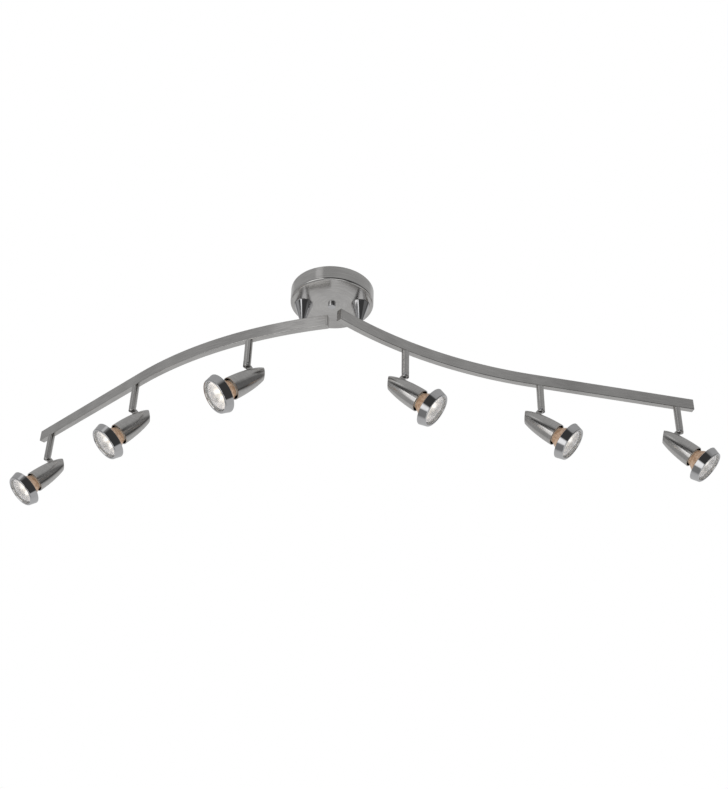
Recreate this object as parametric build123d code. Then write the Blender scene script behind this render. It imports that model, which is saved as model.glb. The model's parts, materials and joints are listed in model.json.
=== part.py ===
from build123d import *
from math import cos, pi, sin, sqrt
import os

# Six-head ceiling spotlight fixture, in millimetres, +Z up.
# The origin is the middle of the canopy's ceiling face, and the fixture hangs below it.
# Two curved arms swivel under two cone stand-offs, and each arm carries three heads.
# A head swivels on its stem's upright axis and tilts on the screw in the stem's fork.

# ---- canopy and what holds it to the ceiling ----
CANOPY_DIAMETER = 130.0
CANOPY_HEIGHT = 25.0
CANOPY_WALL = 1.5
CANOPY_EDGE_RADIUS = 3.0
CROSSBAR_LENGTH = 104.0
CROSSBAR_WIDTH = 20.0
CROSSBAR_THICKNESS = 2.0
CROSSBAR_CORNER = 5.0
BOX_SCREW_SPACING = 79.5  # middle to middle of the two slots
SLOT_LENGTH = 16.0  # tip to tip, so that 70 mm and 89 mm boxes both fit
SLOT_WIDTH = 4.8
CENTER_STUD_DIAMETER = 6.0
CAP_NUT_DIAMETER = 12.5
CAP_NUT_HEIGHT = 5.0
CAP_NUT_ROOF = 1.2
CAP_NUT_ROUND = 1.5

# ---- cone stand-offs and arm pivots ----
PIVOT_SPACING = 88.9
STANDOFF_TOP_DIAMETER = 30.0
STANDOFF_FOOT_DIAMETER = 9.4
STANDOFF_LENGTH = 31.0
PIVOT_STUD_DIAMETER = 5.0
PIVOT_STUD_BORE = 2.6
STANDOFF_NUT_ACROSS = 9.0
STANDOFF_NUT_HEIGHT = 3.5
STUD_PROUD = 1.2  # stud beyond its nut, inside the canopy

# ---- arms: rectangular tube, an arc and then a straight run ----
ARM_HEIGHT = 20.0
ARM_WIDTH = 10.0
ARM_WALL = 1.2
ARM_CORNER = 1.0
ARM_BEND_RADIUS = 690.0
ARM_BEND_LENGTH = 362.0
PIVOT_INSET = 42.0  # from the inner end to the pivot
FIRST_STEM = 90.0  # from the pivot to the first stem
STEM_PITCH = 243.0
STEMS_PER_ARM = 3
END_MARGIN = 30.0  # from the last stem to the outer end
END_CAP_THICKNESS = 3.0
END_PLUG_LENGTH = 7.0
INNER_NUT_GAP = 0.4  # each side of the round nuts inside the tube
INNER_NUT_HEIGHT = 3.0
LEFT_ARM_HEADING = 167.5  # direction of the inner end, from +X
RIGHT_ARM_HEADING = 44.2

# ---- stems ----
STEM_DIAMETER = 12.0
STEM_LENGTH = 49.0
STEM_BORE = 8.0
STEM_NECK_DIAMETER = 5.0
STEM_NECK_BORE = 2.6
STEM_ROOF = 4.0
STEM_FOOT_ROUND = 1.6
PIVOT_ABOVE_FOOT = 4.0
FORK_SLOT_WIDTH = 4.0
TILT_SCREW_DIAMETER = 3.0
TILT_SCREW_HEAD = 5.4
TILT_SCREW_HEAD_HEIGHT = 1.2
TILT_SCREW_CHAMFER = 0.4

# ---- heads: x runs forward along the lamp axis from below the tilt screw ----
EAR_RISE = 4.6  # tilt screw above the shell's widest line
SHELL_FRONT = 48.0
SHELL_GAP = 4.0  # around the lamp's base at the shell's front edge
SHELL_NOSE_LENGTH = 72.0  # long half-axis of the shell's elliptic outline
SHELL_WALL = 1.2
REAR_CUT = -15.0  # where the slanted rear panel crosses the axis
REAR_LEAN = 33.0
EAR_RADIUS = 4.5
EAR_HEADROOM = 0.8  # above the ear in the fork
LAMP_LENGTH = 55.0
LAMP_FACE = 78.0
LAMP_RADIUS = 25.0
LAMP_BASE_RADIUS = 13.2
LAMP_FLANGE = 2.6
LAMP_GLASS = 1.4
LAMP_BULGE = 0.62  # how far out the bowl is at mid-length, from base to rim
LENS_THICKNESS = 1.5
LENS_MARGIN = 1.0  # rim of the lamp around its lens
LENS_LEDGE = 0.6
PIN_SPACING = 10.0
PIN_DIAMETER = 5.0
PIN_LENGTH = 6.5
HOLDER_BACK = 3.0
BEZEL_LENGTH = 13.2
BEZEL_PROUD = 1.4  # bezel in front of the lamp's face
BEZEL_BACK_MARGIN = 6.6  # bezel beyond the lamp's rim at its back edge
BEZEL_FRONT_MARGIN = 3.0
BEZEL_WALL = 1.2
BEZEL_OVERLAP = 0.8  # front lip over the lamp's rim
BEZEL_GRIP_LENGTH = 5.0

# ---- clearances ----
RUN = 0.05  # running fit of a round pin in its hole, on the radius
SEAT = 0.15  # fixed pieces that slip together
THREAD = 0.05  # a nut on its stud or a screw in its hole, on the radius
FORK_GAP = 0.2  # each side of the ear in the fork

# ---- aim of each head: arm, stem number from the pivot, direction from +X, tilt down ----
HEADS = {
    "left_outer": ("left", 2, 203.5, 49.5),
    "left_middle": ("left", 1, 198.3, 48.0),
    "left_inner": ("left", 0, 200.0, 40.8),
    "right_inner": ("right", 0, -6.0, 38.4),
    "right_middle": ("right", 1, -10.5, 40.6),
    "right_outer": ("right", 2, -11.5, 46.8),
}

# ---- places that follow from the sizes above ----
ARM_LENGTH = PIVOT_INSET + FIRST_STEM + (STEMS_PER_ARM - 1) * STEM_PITCH + END_MARGIN
ARM_TOP = -CANOPY_HEIGHT - STANDOFF_LENGTH
ARM_BOTTOM = ARM_TOP - ARM_HEIGHT
INNER_NUT_DIAMETER = ARM_WIDTH - 2 * ARM_WALL - 2 * INNER_NUT_GAP
STEM_FOOT = -STEM_LENGTH
TILT_HEIGHT = STEM_FOOT + PIVOT_ABOVE_FOOT  # below the arm's lower face
FORK_TOP = TILT_HEIGHT + EAR_RADIUS + EAR_HEADROOM
EAR_THICKNESS = FORK_SLOT_WIDTH - 2 * FORK_GAP
LAMP_BACK = LAMP_FACE - LAMP_LENGTH
LENS_RADIUS = LAMP_RADIUS - LENS_MARGIN
BEZEL_FRONT = LAMP_FACE + BEZEL_PROUD
BEZEL_BACK = BEZEL_FRONT - BEZEL_LENGTH
BEZEL_BACK_RADIUS = LAMP_RADIUS + BEZEL_BACK_MARGIN
BEZEL_FRONT_RADIUS = LAMP_RADIUS + BEZEL_FRONT_MARGIN
BEZEL_LIP = LAMP_RADIUS - BEZEL_OVERLAP  # radius of the front opening
SHELL_RADIUS = LAMP_BASE_RADIUS + SHELL_GAP + SHELL_WALL
AXIS_DROP = SHELL_RADIUS + EAR_RISE  # from the tilt screw to the lamp axis


def rod(radius, x_from, x_to):
    """A round bar along X between two places."""
    return Pos((x_from + x_to) / 2, 0, 0) * Rot(0, 90, 0) * Cylinder(radius, x_to - x_from)


def post(radius, z_from, z_to):
    """A round bar along Z between two heights."""
    return Pos(0, 0, (z_from + z_to) / 2) * Cylinder(radius, z_to - z_from)


def turned(*edges):
    """A solid of revolution about X from the edges of its closed half outline."""
    return revolve(make_face(edges), Axis.X)


def outline(*points):
    """Straight edges through the points of an open outline."""
    return Polyline(*points).edges()


# ---- the path of an arm, from its inner end, which heads along +X and turns clockwise ----


def arm_heading(s):
    """Direction of the path at a distance s, in degrees."""
    return -min(s, ARM_BEND_LENGTH) / ARM_BEND_RADIUS * 180 / pi


def arm_point(s, offset=0.0):
    """Point of the path at a distance s, moved sideways to the left by offset."""
    bend = min(s, ARM_BEND_LENGTH) / ARM_BEND_RADIUS
    run = max(s - ARM_BEND_LENGTH, 0.0)
    x = (ARM_BEND_RADIUS + offset) * sin(bend) + run * cos(bend)
    y = (ARM_BEND_RADIUS + offset) * cos(bend) - ARM_BEND_RADIUS - run * sin(bend)
    return (x, y)


def arm_bar(s_from, s_to, half_width, z_low, height):
    """A bar of rectangular section that follows the path between two distances."""
    bend_end = min(s_to, ARM_BEND_LENGTH)
    middle = (s_from + bend_end) / 2
    edges = []
    for side in (half_width, -half_width):
        arc = [arm_point(s, side) for s in (s_from, middle, bend_end)]
        edges.append(ThreePointArc(*arc))
        if s_to > ARM_BEND_LENGTH:
            edges.append(Line(arm_point(ARM_BEND_LENGTH, side), arm_point(s_to, side)))
    for s in (s_from, s_to):
        edges.append(Line(arm_point(s, half_width), arm_point(s, -half_width)))
    return Pos(0, 0, z_low) * extrude(make_face(edges), height)


def arm_frame(s):
    """Place on the path at a distance s, with X along it and z at the arm's lower face."""
    x, y = arm_point(s)
    return Pos(x, y, 0) * Rot(0, 0, arm_heading(s))


def stem_station(number):
    """Distance from an arm's inner end to one of its stems."""
    return PIVOT_INSET + FIRST_STEM + number * STEM_PITCH


def arm_place(side):
    """Place of an arm's inner end in the fixture, at rest."""
    heading = LEFT_ARM_HEADING if side == "left" else RIGHT_ARM_HEADING
    pivot = Pos(pivot_x(side), 0, ARM_BOTTOM)
    x, y = arm_point(PIVOT_INSET)
    return pivot * Rot(0, 0, heading) * Pos(-x, -y, 0)


def pivot_x(side):
    """X of an arm's pivot axis."""
    return -PIVOT_SPACING / 2 if side == "left" else PIVOT_SPACING / 2


# ---- pieces fixed to the ceiling ----


def ceiling_crossbar():
    """The slotted bar that is screwed to the ceiling box."""
    bar = Pos(0, 0, -CROSSBAR_THICKNESS / 2) * Box(
        CROSSBAR_LENGTH, CROSSBAR_WIDTH, CROSSBAR_THICKNESS
    )
    bar = fillet(bar.edges().filter_by(Axis.Z), CROSSBAR_CORNER)
    for x in (-BOX_SCREW_SPACING / 2, BOX_SCREW_SPACING / 2):
        slot = SlotOverall(SLOT_LENGTH, SLOT_WIDTH)
        bar -= Pos(x, 0, -CROSSBAR_THICKNESS) * extrude(slot, CROSSBAR_THICKNESS)
    return bar - post(CENTER_STUD_DIAMETER / 2 + THREAD, -CROSSBAR_THICKNESS, 0)


def center_stud():
    """The stud from the crossbar down into the cap nut."""
    return post(CENTER_STUD_DIAMETER / 2, cap_nut_roof(), 0)


def cap_nut_roof():
    """Height of the closed end of the cap nut's hole."""
    return -CANOPY_HEIGHT - CAP_NUT_HEIGHT + CAP_NUT_ROOF


def canopy_cap_nut():
    """The round closed nut that holds the canopy up."""
    nut = post(CAP_NUT_DIAMETER / 2, -CANOPY_HEIGHT - CAP_NUT_HEIGHT, -CANOPY_HEIGHT)
    nut = fillet(nut.edges().group_by(Axis.Z)[0], CAP_NUT_ROUND)
    return nut - post(CENTER_STUD_DIAMETER / 2 + THREAD, cap_nut_roof(), -CANOPY_HEIGHT)


def canopy():
    """The round pan, open to the ceiling, with holes for the stud and both pivots."""
    pan = post(CANOPY_DIAMETER / 2, -CANOPY_HEIGHT, 0)
    pan = fillet(pan.edges().group_by(Axis.Z)[0], CANOPY_EDGE_RADIUS)
    hollow = post(CANOPY_DIAMETER / 2 - CANOPY_WALL, CANOPY_WALL - CANOPY_HEIGHT, 0)
    inner_round = CANOPY_EDGE_RADIUS - CANOPY_WALL
    if inner_round > 0:
        hollow = fillet(hollow.edges().group_by(Axis.Z)[0], inner_round)
    pan -= hollow
    pan -= post(CENTER_STUD_DIAMETER / 2 + SEAT, -CANOPY_HEIGHT, 0)
    for side in ("left", "right"):
        hole = post(PIVOT_STUD_DIAMETER / 2 + SEAT, -CANOPY_HEIGHT, 0)
        pan -= Pos(pivot_x(side), 0, 0) * hole
    return pan


def at_pivots(piece):
    """The same piece at both arm pivots."""
    return Compound([Pos(pivot_x(side), 0, 0) * piece for side in ("left", "right")])


def cone_standoffs():
    """The two bored cones between the canopy and the arms, wide end up."""
    top = STANDOFF_TOP_DIAMETER / 2
    foot = STANDOFF_FOOT_DIAMETER / 2
    cone = Pos(0, 0, (ARM_TOP - CANOPY_HEIGHT) / 2) * Cone(foot, top, STANDOFF_LENGTH)
    bore = post(PIVOT_STUD_DIAMETER / 2 + SEAT, ARM_TOP, -CANOPY_HEIGHT)
    return at_pivots(cone - bore)


def pivot_studs():
    """The two hollow studs that carry the arms and pass the wires."""
    top = CANOPY_WALL - CANOPY_HEIGHT + STANDOFF_NUT_HEIGHT + STUD_PROUD
    low = ARM_TOP - ARM_WALL - INNER_NUT_HEIGHT
    stud = post(PIVOT_STUD_DIAMETER / 2, low, top)
    return at_pivots(stud - post(PIVOT_STUD_BORE / 2, low, top))


def standoff_nuts():
    """The hexagon nuts on the pivot studs inside the canopy."""
    seat = CANOPY_WALL - CANOPY_HEIGHT
    hexagon = RegularPolygon(STANDOFF_NUT_ACROSS / 2, 6, major_radius=False)
    nut = Pos(0, 0, seat) * extrude(hexagon, STANDOFF_NUT_HEIGHT)
    return at_pivots(nut - post(PIVOT_STUD_DIAMETER / 2 + THREAD, seat, 0))


def inner_nut(bore_diameter):
    """A round nut that stands on z = 0."""
    nut = post(INNER_NUT_DIAMETER / 2, 0, INNER_NUT_HEIGHT)
    return nut - post(bore_diameter / 2 + THREAD, 0, INNER_NUT_HEIGHT)


def pivot_nuts():
    """The round nuts on the pivot studs, against the roof of each arm tube."""
    seat = ARM_TOP - ARM_WALL - INNER_NUT_HEIGHT
    return at_pivots(Pos(0, 0, seat) * inner_nut(PIVOT_STUD_DIAMETER))


# ---- arms, with z = 0 at the lower face ----


def arm_tube():
    """One curved rectangular tube with its pivot hole above and stem holes below."""
    ends = (END_CAP_THICKNESS, ARM_LENGTH - END_CAP_THICKNESS)
    tube = arm_bar(*ends, ARM_WIDTH / 2, 0, ARM_HEIGHT)
    long_edges = [edge for edge in tube.edges() if edge.length > 2 * ARM_HEIGHT]
    tube = fillet(long_edges, ARM_CORNER)
    inside = ARM_WIDTH / 2 - ARM_WALL
    tube -= arm_bar(*ends, inside, ARM_WALL, ARM_HEIGHT - 2 * ARM_WALL)
    pivot_hole = post(PIVOT_STUD_DIAMETER / 2 + RUN, ARM_HEIGHT - ARM_WALL, ARM_HEIGHT)
    tube -= arm_frame(PIVOT_INSET) * pivot_hole
    for number in range(STEMS_PER_ARM):
        stem_hole = post(STEM_NECK_DIAMETER / 2 + RUN, 0, ARM_WALL)
        tube -= arm_frame(stem_station(number)) * stem_hole
    return tube


def arm_end_cap():
    """A cap whose plug runs along +X from x = 0 and whose head lies behind it."""
    upright = Pos(0, 0, ARM_HEIGHT / 2) * Rot(0, 90, 0)
    head = RectangleRounded(ARM_HEIGHT, ARM_WIDTH, ARM_CORNER)
    plug_height = ARM_HEIGHT - 2 * ARM_WALL - 2 * SEAT
    plug_width = ARM_WIDTH - 2 * ARM_WALL - 2 * SEAT
    plug = Rectangle(plug_height, plug_width)
    cap = upright * extrude(head, -END_CAP_THICKNESS)
    return cap + upright * extrude(plug, END_PLUG_LENGTH)


def arm_end_caps():
    """The two caps that close an arm."""
    inner = arm_frame(END_CAP_THICKNESS) * arm_end_cap()
    outer = arm_frame(ARM_LENGTH - END_CAP_THICKNESS) * Rot(0, 0, 180) * arm_end_cap()
    return Compound([inner, outer])


# ---- stem, with z = 0 at the arm's lower face and the fork open along X ----


def stem():
    """The hollow stem with its neck above and its fork below."""
    bar = post(STEM_DIAMETER / 2, STEM_FOOT, 0)
    bar = fillet(bar.edges().group_by(Axis.Z)[0], STEM_FOOT_ROUND)
    neck_top = ARM_WALL + INNER_NUT_HEIGHT
    bar += post(STEM_NECK_DIAMETER / 2, 0, neck_top)
    bar -= post(STEM_NECK_BORE / 2, FORK_TOP, neck_top)
    bar -= post(STEM_BORE / 2, FORK_TOP + STEM_ROOF, -STEM_ROOF)
    fork_height = FORK_TOP - STEM_FOOT
    fork = Box(2 * STEM_DIAMETER, FORK_SLOT_WIDTH, fork_height)
    bar -= Pos(0, 0, STEM_FOOT + fork_height / 2) * fork
    across = Pos(0, 0, TILT_HEIGHT) * Rot(90, 0, 0)
    bar -= across * Cylinder(TILT_SCREW_DIAMETER / 2 + THREAD, 2 * STEM_DIAMETER)
    sunk = across * post(TILT_SCREW_HEAD / 2 + SEAT, screw_seat(), STEM_DIAMETER)
    return bar - sunk


def screw_seat():
    """Distance from the stem's axis to the seat of the tilt screw's head."""
    flat = sqrt((STEM_DIAMETER / 2) ** 2 - (TILT_SCREW_HEAD / 2) ** 2)
    return flat - TILT_SCREW_HEAD_HEIGHT / 2


def tilt_screw():
    """The screw that crosses the fork, about its own Z, head at the positive end."""
    seat = screw_seat()
    shank = post(TILT_SCREW_DIAMETER / 2, -seat, seat)
    head = post(TILT_SCREW_HEAD / 2, seat, seat + TILT_SCREW_HEAD_HEIGHT)
    head = chamfer(head.edges().group_by(Axis.Z)[-1], TILT_SCREW_CHAMFER)
    return Pos(0, 0, TILT_HEIGHT) * Rot(90, 0, 0) * (shank + head)


def stem_nut():
    """The round nut on a stem's neck, on the floor of the arm tube."""
    return Pos(0, 0, ARM_WALL) * inner_nut(STEM_NECK_DIAMETER)


# ---- head, with X forward on the lamp axis and the tilt screw above x = 0 ----


def shell_radius(x, inset=0.0):
    """Radius of the shell's elliptic outline, or of one a wall inside it."""
    back = (SHELL_FRONT - x) / (SHELL_NOSE_LENGTH - inset)
    return (SHELL_RADIUS - inset) * sqrt(1 - back**2)


def bullet(inset):
    """The closed bullet of the shell's outline, or of one a wall inside it."""
    length = SHELL_NOSE_LENGTH - inset
    radius = SHELL_RADIUS - inset
    arc = EllipticalCenterArc((SHELL_FRONT, 0), length, radius, 90, arc_size=90)
    front = Line((SHELL_FRONT, radius), (SHELL_FRONT, 0))
    axis = Line((SHELL_FRONT, 0), (SHELL_FRONT - length, 0))
    return turned(arc, front, axis)


def behind_rear(shift):
    """Everything behind the slanted rear panel, moved forward by shift."""
    reach = 2 * SHELL_NOSE_LENGTH
    block = Pos(shift - reach / 2, 0, 0) * Box(reach, reach, reach)
    return Pos(REAR_CUT, 0, 0) * Rot(0, -REAR_LEAN, 0) * block


def head_shell():
    """The hollow bullet with its slanted rear panel and the ear for the tilt screw."""
    foot = shell_radius(-EAR_RADIUS) - SHELL_WALL
    neck = Pos(0, 0, (foot + AXIS_DROP) / 2) * Box(
        2 * EAR_RADIUS, EAR_THICKNESS, AXIS_DROP - foot
    )
    across = Pos(0, 0, AXIS_DROP) * Rot(90, 0, 0)
    ear = neck + across * Cylinder(EAR_RADIUS, EAR_THICKNESS)
    ear -= across * Cylinder(TILT_SCREW_DIAMETER / 2 + RUN, 2 * EAR_THICKNESS)
    body = bullet(0) - behind_rear(0) + ear
    return body - (bullet(SHELL_WALL) - behind_rear(SHELL_WALL))


def pin_places():
    """Places of the lamp's two contact pins, on the lamp axis's frame."""
    return [Pos(0, y, 0) for y in (-PIN_SPACING / 2, PIN_SPACING / 2)]


def lamp_holder():
    """The ceramic block in the shell that takes the lamp's two pins."""
    radius = shell_radius(HOLDER_BACK, SHELL_WALL) - SEAT
    holder = rod(radius, HOLDER_BACK, LAMP_BACK)
    for place in pin_places():
        depth = LAMP_BACK - PIN_LENGTH - SEAT
        holder -= place * rod(PIN_DIAMETER / 2 + SEAT, depth, LAMP_BACK)
    return holder


def lamp():
    """The reflector lamp: base and pins behind, an open glass bowl in front."""
    base_front = SHELL_FRONT
    flange_back = LAMP_FACE - LAMP_FLANGE
    bowl_rim = LAMP_RADIUS - LAMP_GLASS / 2
    middle = (base_front + flange_back) / 2
    bulge = LAMP_BASE_RADIUS + LAMP_BULGE * (bowl_rim - LAMP_BASE_RADIUS)
    lens_seat = LAMP_FACE - LENS_THICKNESS
    bowl_back = base_front + 2 * LAMP_GLASS
    bowl_seat = LENS_RADIUS - LENS_LEDGE
    outside = outline(
        (bowl_back, 0), (LAMP_BACK, 0), (LAMP_BACK, LAMP_BASE_RADIUS), (base_front, LAMP_BASE_RADIUS)
    )
    bowl = ThreePointArc(
        (base_front, LAMP_BASE_RADIUS), (middle, bulge), (flange_back, bowl_rim)
    )
    rim = outline(
        (flange_back, bowl_rim),
        (flange_back, LAMP_RADIUS),
        (LAMP_FACE, LAMP_RADIUS),
        (LAMP_FACE, LENS_RADIUS + SEAT),
        (lens_seat, LENS_RADIUS + SEAT),
        (lens_seat, bowl_seat),
    )
    hollow = ThreePointArc(
        (lens_seat, bowl_seat),
        (middle + LAMP_GLASS, bulge - LAMP_GLASS),
        (bowl_back, LAMP_BASE_RADIUS / 2),
    )
    back = Line((bowl_back, LAMP_BASE_RADIUS / 2), (bowl_back, 0))
    body = turned(*outside, bowl, *rim, hollow, back)
    for place in pin_places():
        body += place * rod(PIN_DIAMETER / 2, LAMP_BACK - PIN_LENGTH, LAMP_BACK)
    return body


def lamp_lens():
    """The flat glass over the lamp's bowl."""
    return rod(LENS_RADIUS, LAMP_FACE - LENS_THICKNESS, LAMP_FACE)


def bezel():
    """The tapered ring that grips the lamp's rim."""
    lip_back = LAMP_FACE + SEAT
    grip_back = lip_back - BEZEL_GRIP_LENGTH
    grip = LAMP_RADIUS + SEAT
    slope = (BEZEL_BACK_RADIUS - BEZEL_FRONT_RADIUS) / (BEZEL_FRONT - BEZEL_BACK)
    inner_front = BEZEL_BACK_RADIUS - BEZEL_WALL - slope * (grip_back - BEZEL_BACK)
    ring = turned(
        *outline(
            (BEZEL_BACK, BEZEL_BACK_RADIUS),
            (BEZEL_FRONT, BEZEL_FRONT_RADIUS),
            (BEZEL_FRONT, BEZEL_LIP),
            (lip_back, BEZEL_LIP),
            (lip_back, grip),
            (grip_back, grip),
            (grip_back, inner_front),
            (BEZEL_BACK, BEZEL_BACK_RADIUS - BEZEL_WALL),
            (BEZEL_BACK, BEZEL_BACK_RADIUS),
        )
    )
    front_edge = ring.edges().filter_by(GeomType.CIRCLE)
    front_edge = [e for e in front_edge if abs(e.radius - BEZEL_FRONT_RADIUS) < 1e-6]
    return fillet(front_edge, (BEZEL_FRONT - lip_back) / 2)


def stem_place(name):
    """Place of a head's stem in the fixture, with X towards the head's aim."""
    side, number, aim, _ = HEADS[name]
    foot = (arm_place(side) * arm_frame(stem_station(number))).position
    return Pos(foot) * Rot(0, 0, aim)


def tilt_place(name):
    """Place of a head's tilt screw in the fixture, with X along the lamp axis."""
    tilt = HEADS[name][3]
    return stem_place(name) * Pos(0, 0, TILT_HEIGHT) * Rot(0, tilt, 0)


def head_place(name):
    """Place of a head's lamp axis in the fixture."""
    return tilt_place(name) * Pos(0, 0, -AXIS_DROP)


def save(name, shape):
    """Writes one node."""
    export_step(shape, f"parts/{name}.step")


def main():
    """Writes every node."""
    os.makedirs("parts", exist_ok=True)
    for make in (
        ceiling_crossbar,
        center_stud,
        canopy,
        canopy_cap_nut,
        cone_standoffs,
        standoff_nuts,
        pivot_studs,
        pivot_nuts,
    ):
        save(make.__name__, make())
    tube = arm_tube()
    caps = arm_end_caps()
    for side in ("left", "right"):
        save(f"{side}_arm_tube", arm_place(side) * tube)
        save(f"{side}_arm_end_caps", arm_place(side) * caps)
    on_stem = {"stem": stem(), "stem_nut": stem_nut(), "tilt_screw": tilt_screw()}
    on_head = {
        "head_shell": head_shell(),
        "lamp_holder": lamp_holder(),
        "lamp": lamp(),
        "lamp_lens": lamp_lens(),
        "bezel": bezel(),
    }
    for name in HEADS:
        for piece, shape in on_stem.items():
            save(f"{name}_{piece}", stem_place(name) * shape)
        for piece, shape in on_head.items():
            save(f"{name}_{piece}", head_place(name) * shape)


if __name__ == "__main__":
    main()
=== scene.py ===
"""The looks of a six-head ceiling spotlight fixture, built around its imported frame.

Sizes are in metres. A head's own frame has X forward along the lamp axis and Y along the tilt screw.
A stem's own frame has X towards the head's aim and Z up, and starts at the arm's lower face.
"""

from __future__ import annotations

import json
import logging
from collections.abc import Callable, Iterable, Sequence
from dataclasses import dataclass
from enum import Enum
from math import atan2, cos, hypot, pi, radians, sin, sqrt

import bmesh
import bpy
from mathutils import Matrix, Vector

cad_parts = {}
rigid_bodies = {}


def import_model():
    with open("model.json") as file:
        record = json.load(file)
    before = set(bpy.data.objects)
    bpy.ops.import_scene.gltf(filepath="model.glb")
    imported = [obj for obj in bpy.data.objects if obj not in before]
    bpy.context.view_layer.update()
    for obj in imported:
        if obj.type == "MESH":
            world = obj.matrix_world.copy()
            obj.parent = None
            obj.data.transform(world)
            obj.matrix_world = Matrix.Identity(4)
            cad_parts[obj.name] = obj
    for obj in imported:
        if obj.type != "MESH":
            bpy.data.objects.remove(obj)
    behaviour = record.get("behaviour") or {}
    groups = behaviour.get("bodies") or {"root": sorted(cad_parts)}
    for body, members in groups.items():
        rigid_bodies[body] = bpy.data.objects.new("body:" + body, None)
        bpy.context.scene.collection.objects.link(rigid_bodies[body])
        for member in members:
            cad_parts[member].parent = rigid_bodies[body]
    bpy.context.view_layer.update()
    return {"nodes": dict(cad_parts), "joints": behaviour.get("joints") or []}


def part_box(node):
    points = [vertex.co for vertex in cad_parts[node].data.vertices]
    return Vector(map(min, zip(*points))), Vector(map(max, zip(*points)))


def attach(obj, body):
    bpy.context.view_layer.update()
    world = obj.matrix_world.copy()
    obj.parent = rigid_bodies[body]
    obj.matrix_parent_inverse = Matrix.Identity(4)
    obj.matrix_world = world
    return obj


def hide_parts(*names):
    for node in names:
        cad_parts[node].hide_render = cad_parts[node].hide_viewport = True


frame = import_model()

LOG = logging.getLogger("fixture")
MM = 0.001
WELD = 0.006 * MM
TOUCH = 1e-7
MERGE = 1e-6
STRAIGHT = 179.0
NORMAL_WEIGHT = 80
AROUND_REACH = 0.02
NOISE_SPAN = (0.3, 0.7)
Point = tuple[float, float]
Span = tuple[float, float]
Corner = tuple[float, float, float]
Colour = tuple[float, float, float]


class Slot(Enum):
    """The record's material slots. None of the new pieces uses them."""

    NICKEL = "satin_nickel"
    CHROME = "bright_chrome"
    LAMP = "lamp_glass"
    LENS = "lens_glass"


class Side(Enum):
    """The two arms."""

    LEFT = "left"
    RIGHT = "right"


# ---------------------------------------------------------------- node trees


class Wiring:
    """Short calls for the nodes of one tree."""

    def __init__(self, tree: bpy.types.NodeTree) -> None:
        """Starts from an empty tree.

        Args:
            tree: The node tree to fill.
        """
        tree.nodes.clear()
        self.tree = tree

    def node(self, kind: str, inputs: dict | None = None, **settings: object) -> bpy.types.Node:
        """Adds a node.

        Args:
            kind: Blender's name for the node's type.
            inputs: Values or sockets for its inputs, by name or number.
            settings: Its other properties.

        Returns:
            The new node.
        """
        made = self.tree.nodes.new(kind)
        for key, value in settings.items():
            setattr(made, key, value)
        for key, value in (inputs or {}).items():
            if isinstance(value, bpy.types.NodeSocket):
                self.tree.links.new(value, made.inputs[key])
            else:
                made.inputs[key].default_value = value
        return made

    def math(self, operation: str, *values: object) -> bpy.types.NodeSocket:
        """Adds a Math node.

        Args:
            operation: Its operation, such as MULTIPLY.
            values: Up to three numbers or sockets.

        Returns:
            The result's socket.
        """
        kind = "ShaderNodeMath"
        return self.node(kind, dict(enumerate(values)), operation=operation).outputs[0]

    def ramp(
        self, value: bpy.types.NodeSocket, low: float, high: float, to_low: float = 0.0, to_high: float = 1.0
    ) -> bpy.types.NodeSocket:
        """Maps one range of a value to another, smoothly and with clamped ends.

        Args:
            value: What is mapped.
            low: Start of the range it has.
            high: End of the range it has.
            to_low: What low becomes.
            to_high: What high becomes.

        Returns:
            The result's socket.
        """
        places = {"Value": value, "From Min": low, "From Max": high, "To Min": to_low, "To Max": to_high}
        return self.node("ShaderNodeMapRange", places, interpolation_type="SMOOTHSTEP").outputs[0]

    def noise(self, scale: float, detail: float) -> bpy.types.NodeSocket:
        """Adds noise on the piece's own coordinates.

        Args:
            scale: How many lumps there are to the metre.
            detail: How many finer layers it has.

        Returns:
            The noise's socket.
        """
        coords = self.node("ShaderNodeTexCoord").outputs["Object"]
        inputs = {"Vector": coords, "Scale": scale, "Detail": detail}
        return self.node("ShaderNodeTexNoise", inputs).outputs[0]

    def blend(self, share: bpy.types.NodeSocket, first: Colour, second: Colour) -> bpy.types.NodeSocket:
        """Blends two colours.

        Args:
            share: How much of the second colour shows, from 0 to 1.
            first: The first colour.
            second: The second colour.

        Returns:
            The colour's socket.
        """
        mix = self.node("ShaderNodeMix", {"Factor": share}, data_type="RGBA")
        mix.inputs["A"].default_value = (*first, 1.0)
        mix.inputs["B"].default_value = (*second, 1.0)
        return mix.outputs["Result"]

    def relief(self, height: bpy.types.NodeSocket, depth: float, strength: float) -> bpy.types.NodeSocket:
        """Adds a bump.

        Args:
            height: The height, from 0 to 1.
            depth: How far apart 0 and 1 are.
            strength: How much of the bump shows.

        Returns:
            The normal's socket.
        """
        inputs = {"Height": height, "Distance": depth, "Strength": strength}
        return self.node("ShaderNodeBump", inputs).outputs[0]

    def surface(self, inputs: dict[str, object]) -> bpy.types.NodeSocket:
        """Adds the shader that all finishes use, and gives its socket."""
        return self.node("ShaderNodeBsdfPrincipled", inputs).outputs[0]


# ---------------------------------------------------------------- finishes


class Finish:
    """What all finishes share: one material each, made once."""

    name: str = ""

    def wire(self, wiring: Wiring) -> bpy.types.NodeSocket:
        """Builds the finish's nodes.

        Args:
            wiring: The material's nodes.

        Returns:
            The shader's socket.
        """
        raise NotImplementedError

    def material(self) -> bpy.types.Material:
        """Makes the finish's material at the first call, and finds it at the others.

        Returns:
            The material.
        """
        found = bpy.data.materials.get(self.name)
        if found is None:
            found = bpy.data.materials.new(self.name)
            found.use_nodes = True
            wiring = Wiring(found.node_tree)
            shader = self.wire(wiring)
            wiring.node("ShaderNodeOutputMaterial", {"Surface": shader})
        return found


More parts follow.
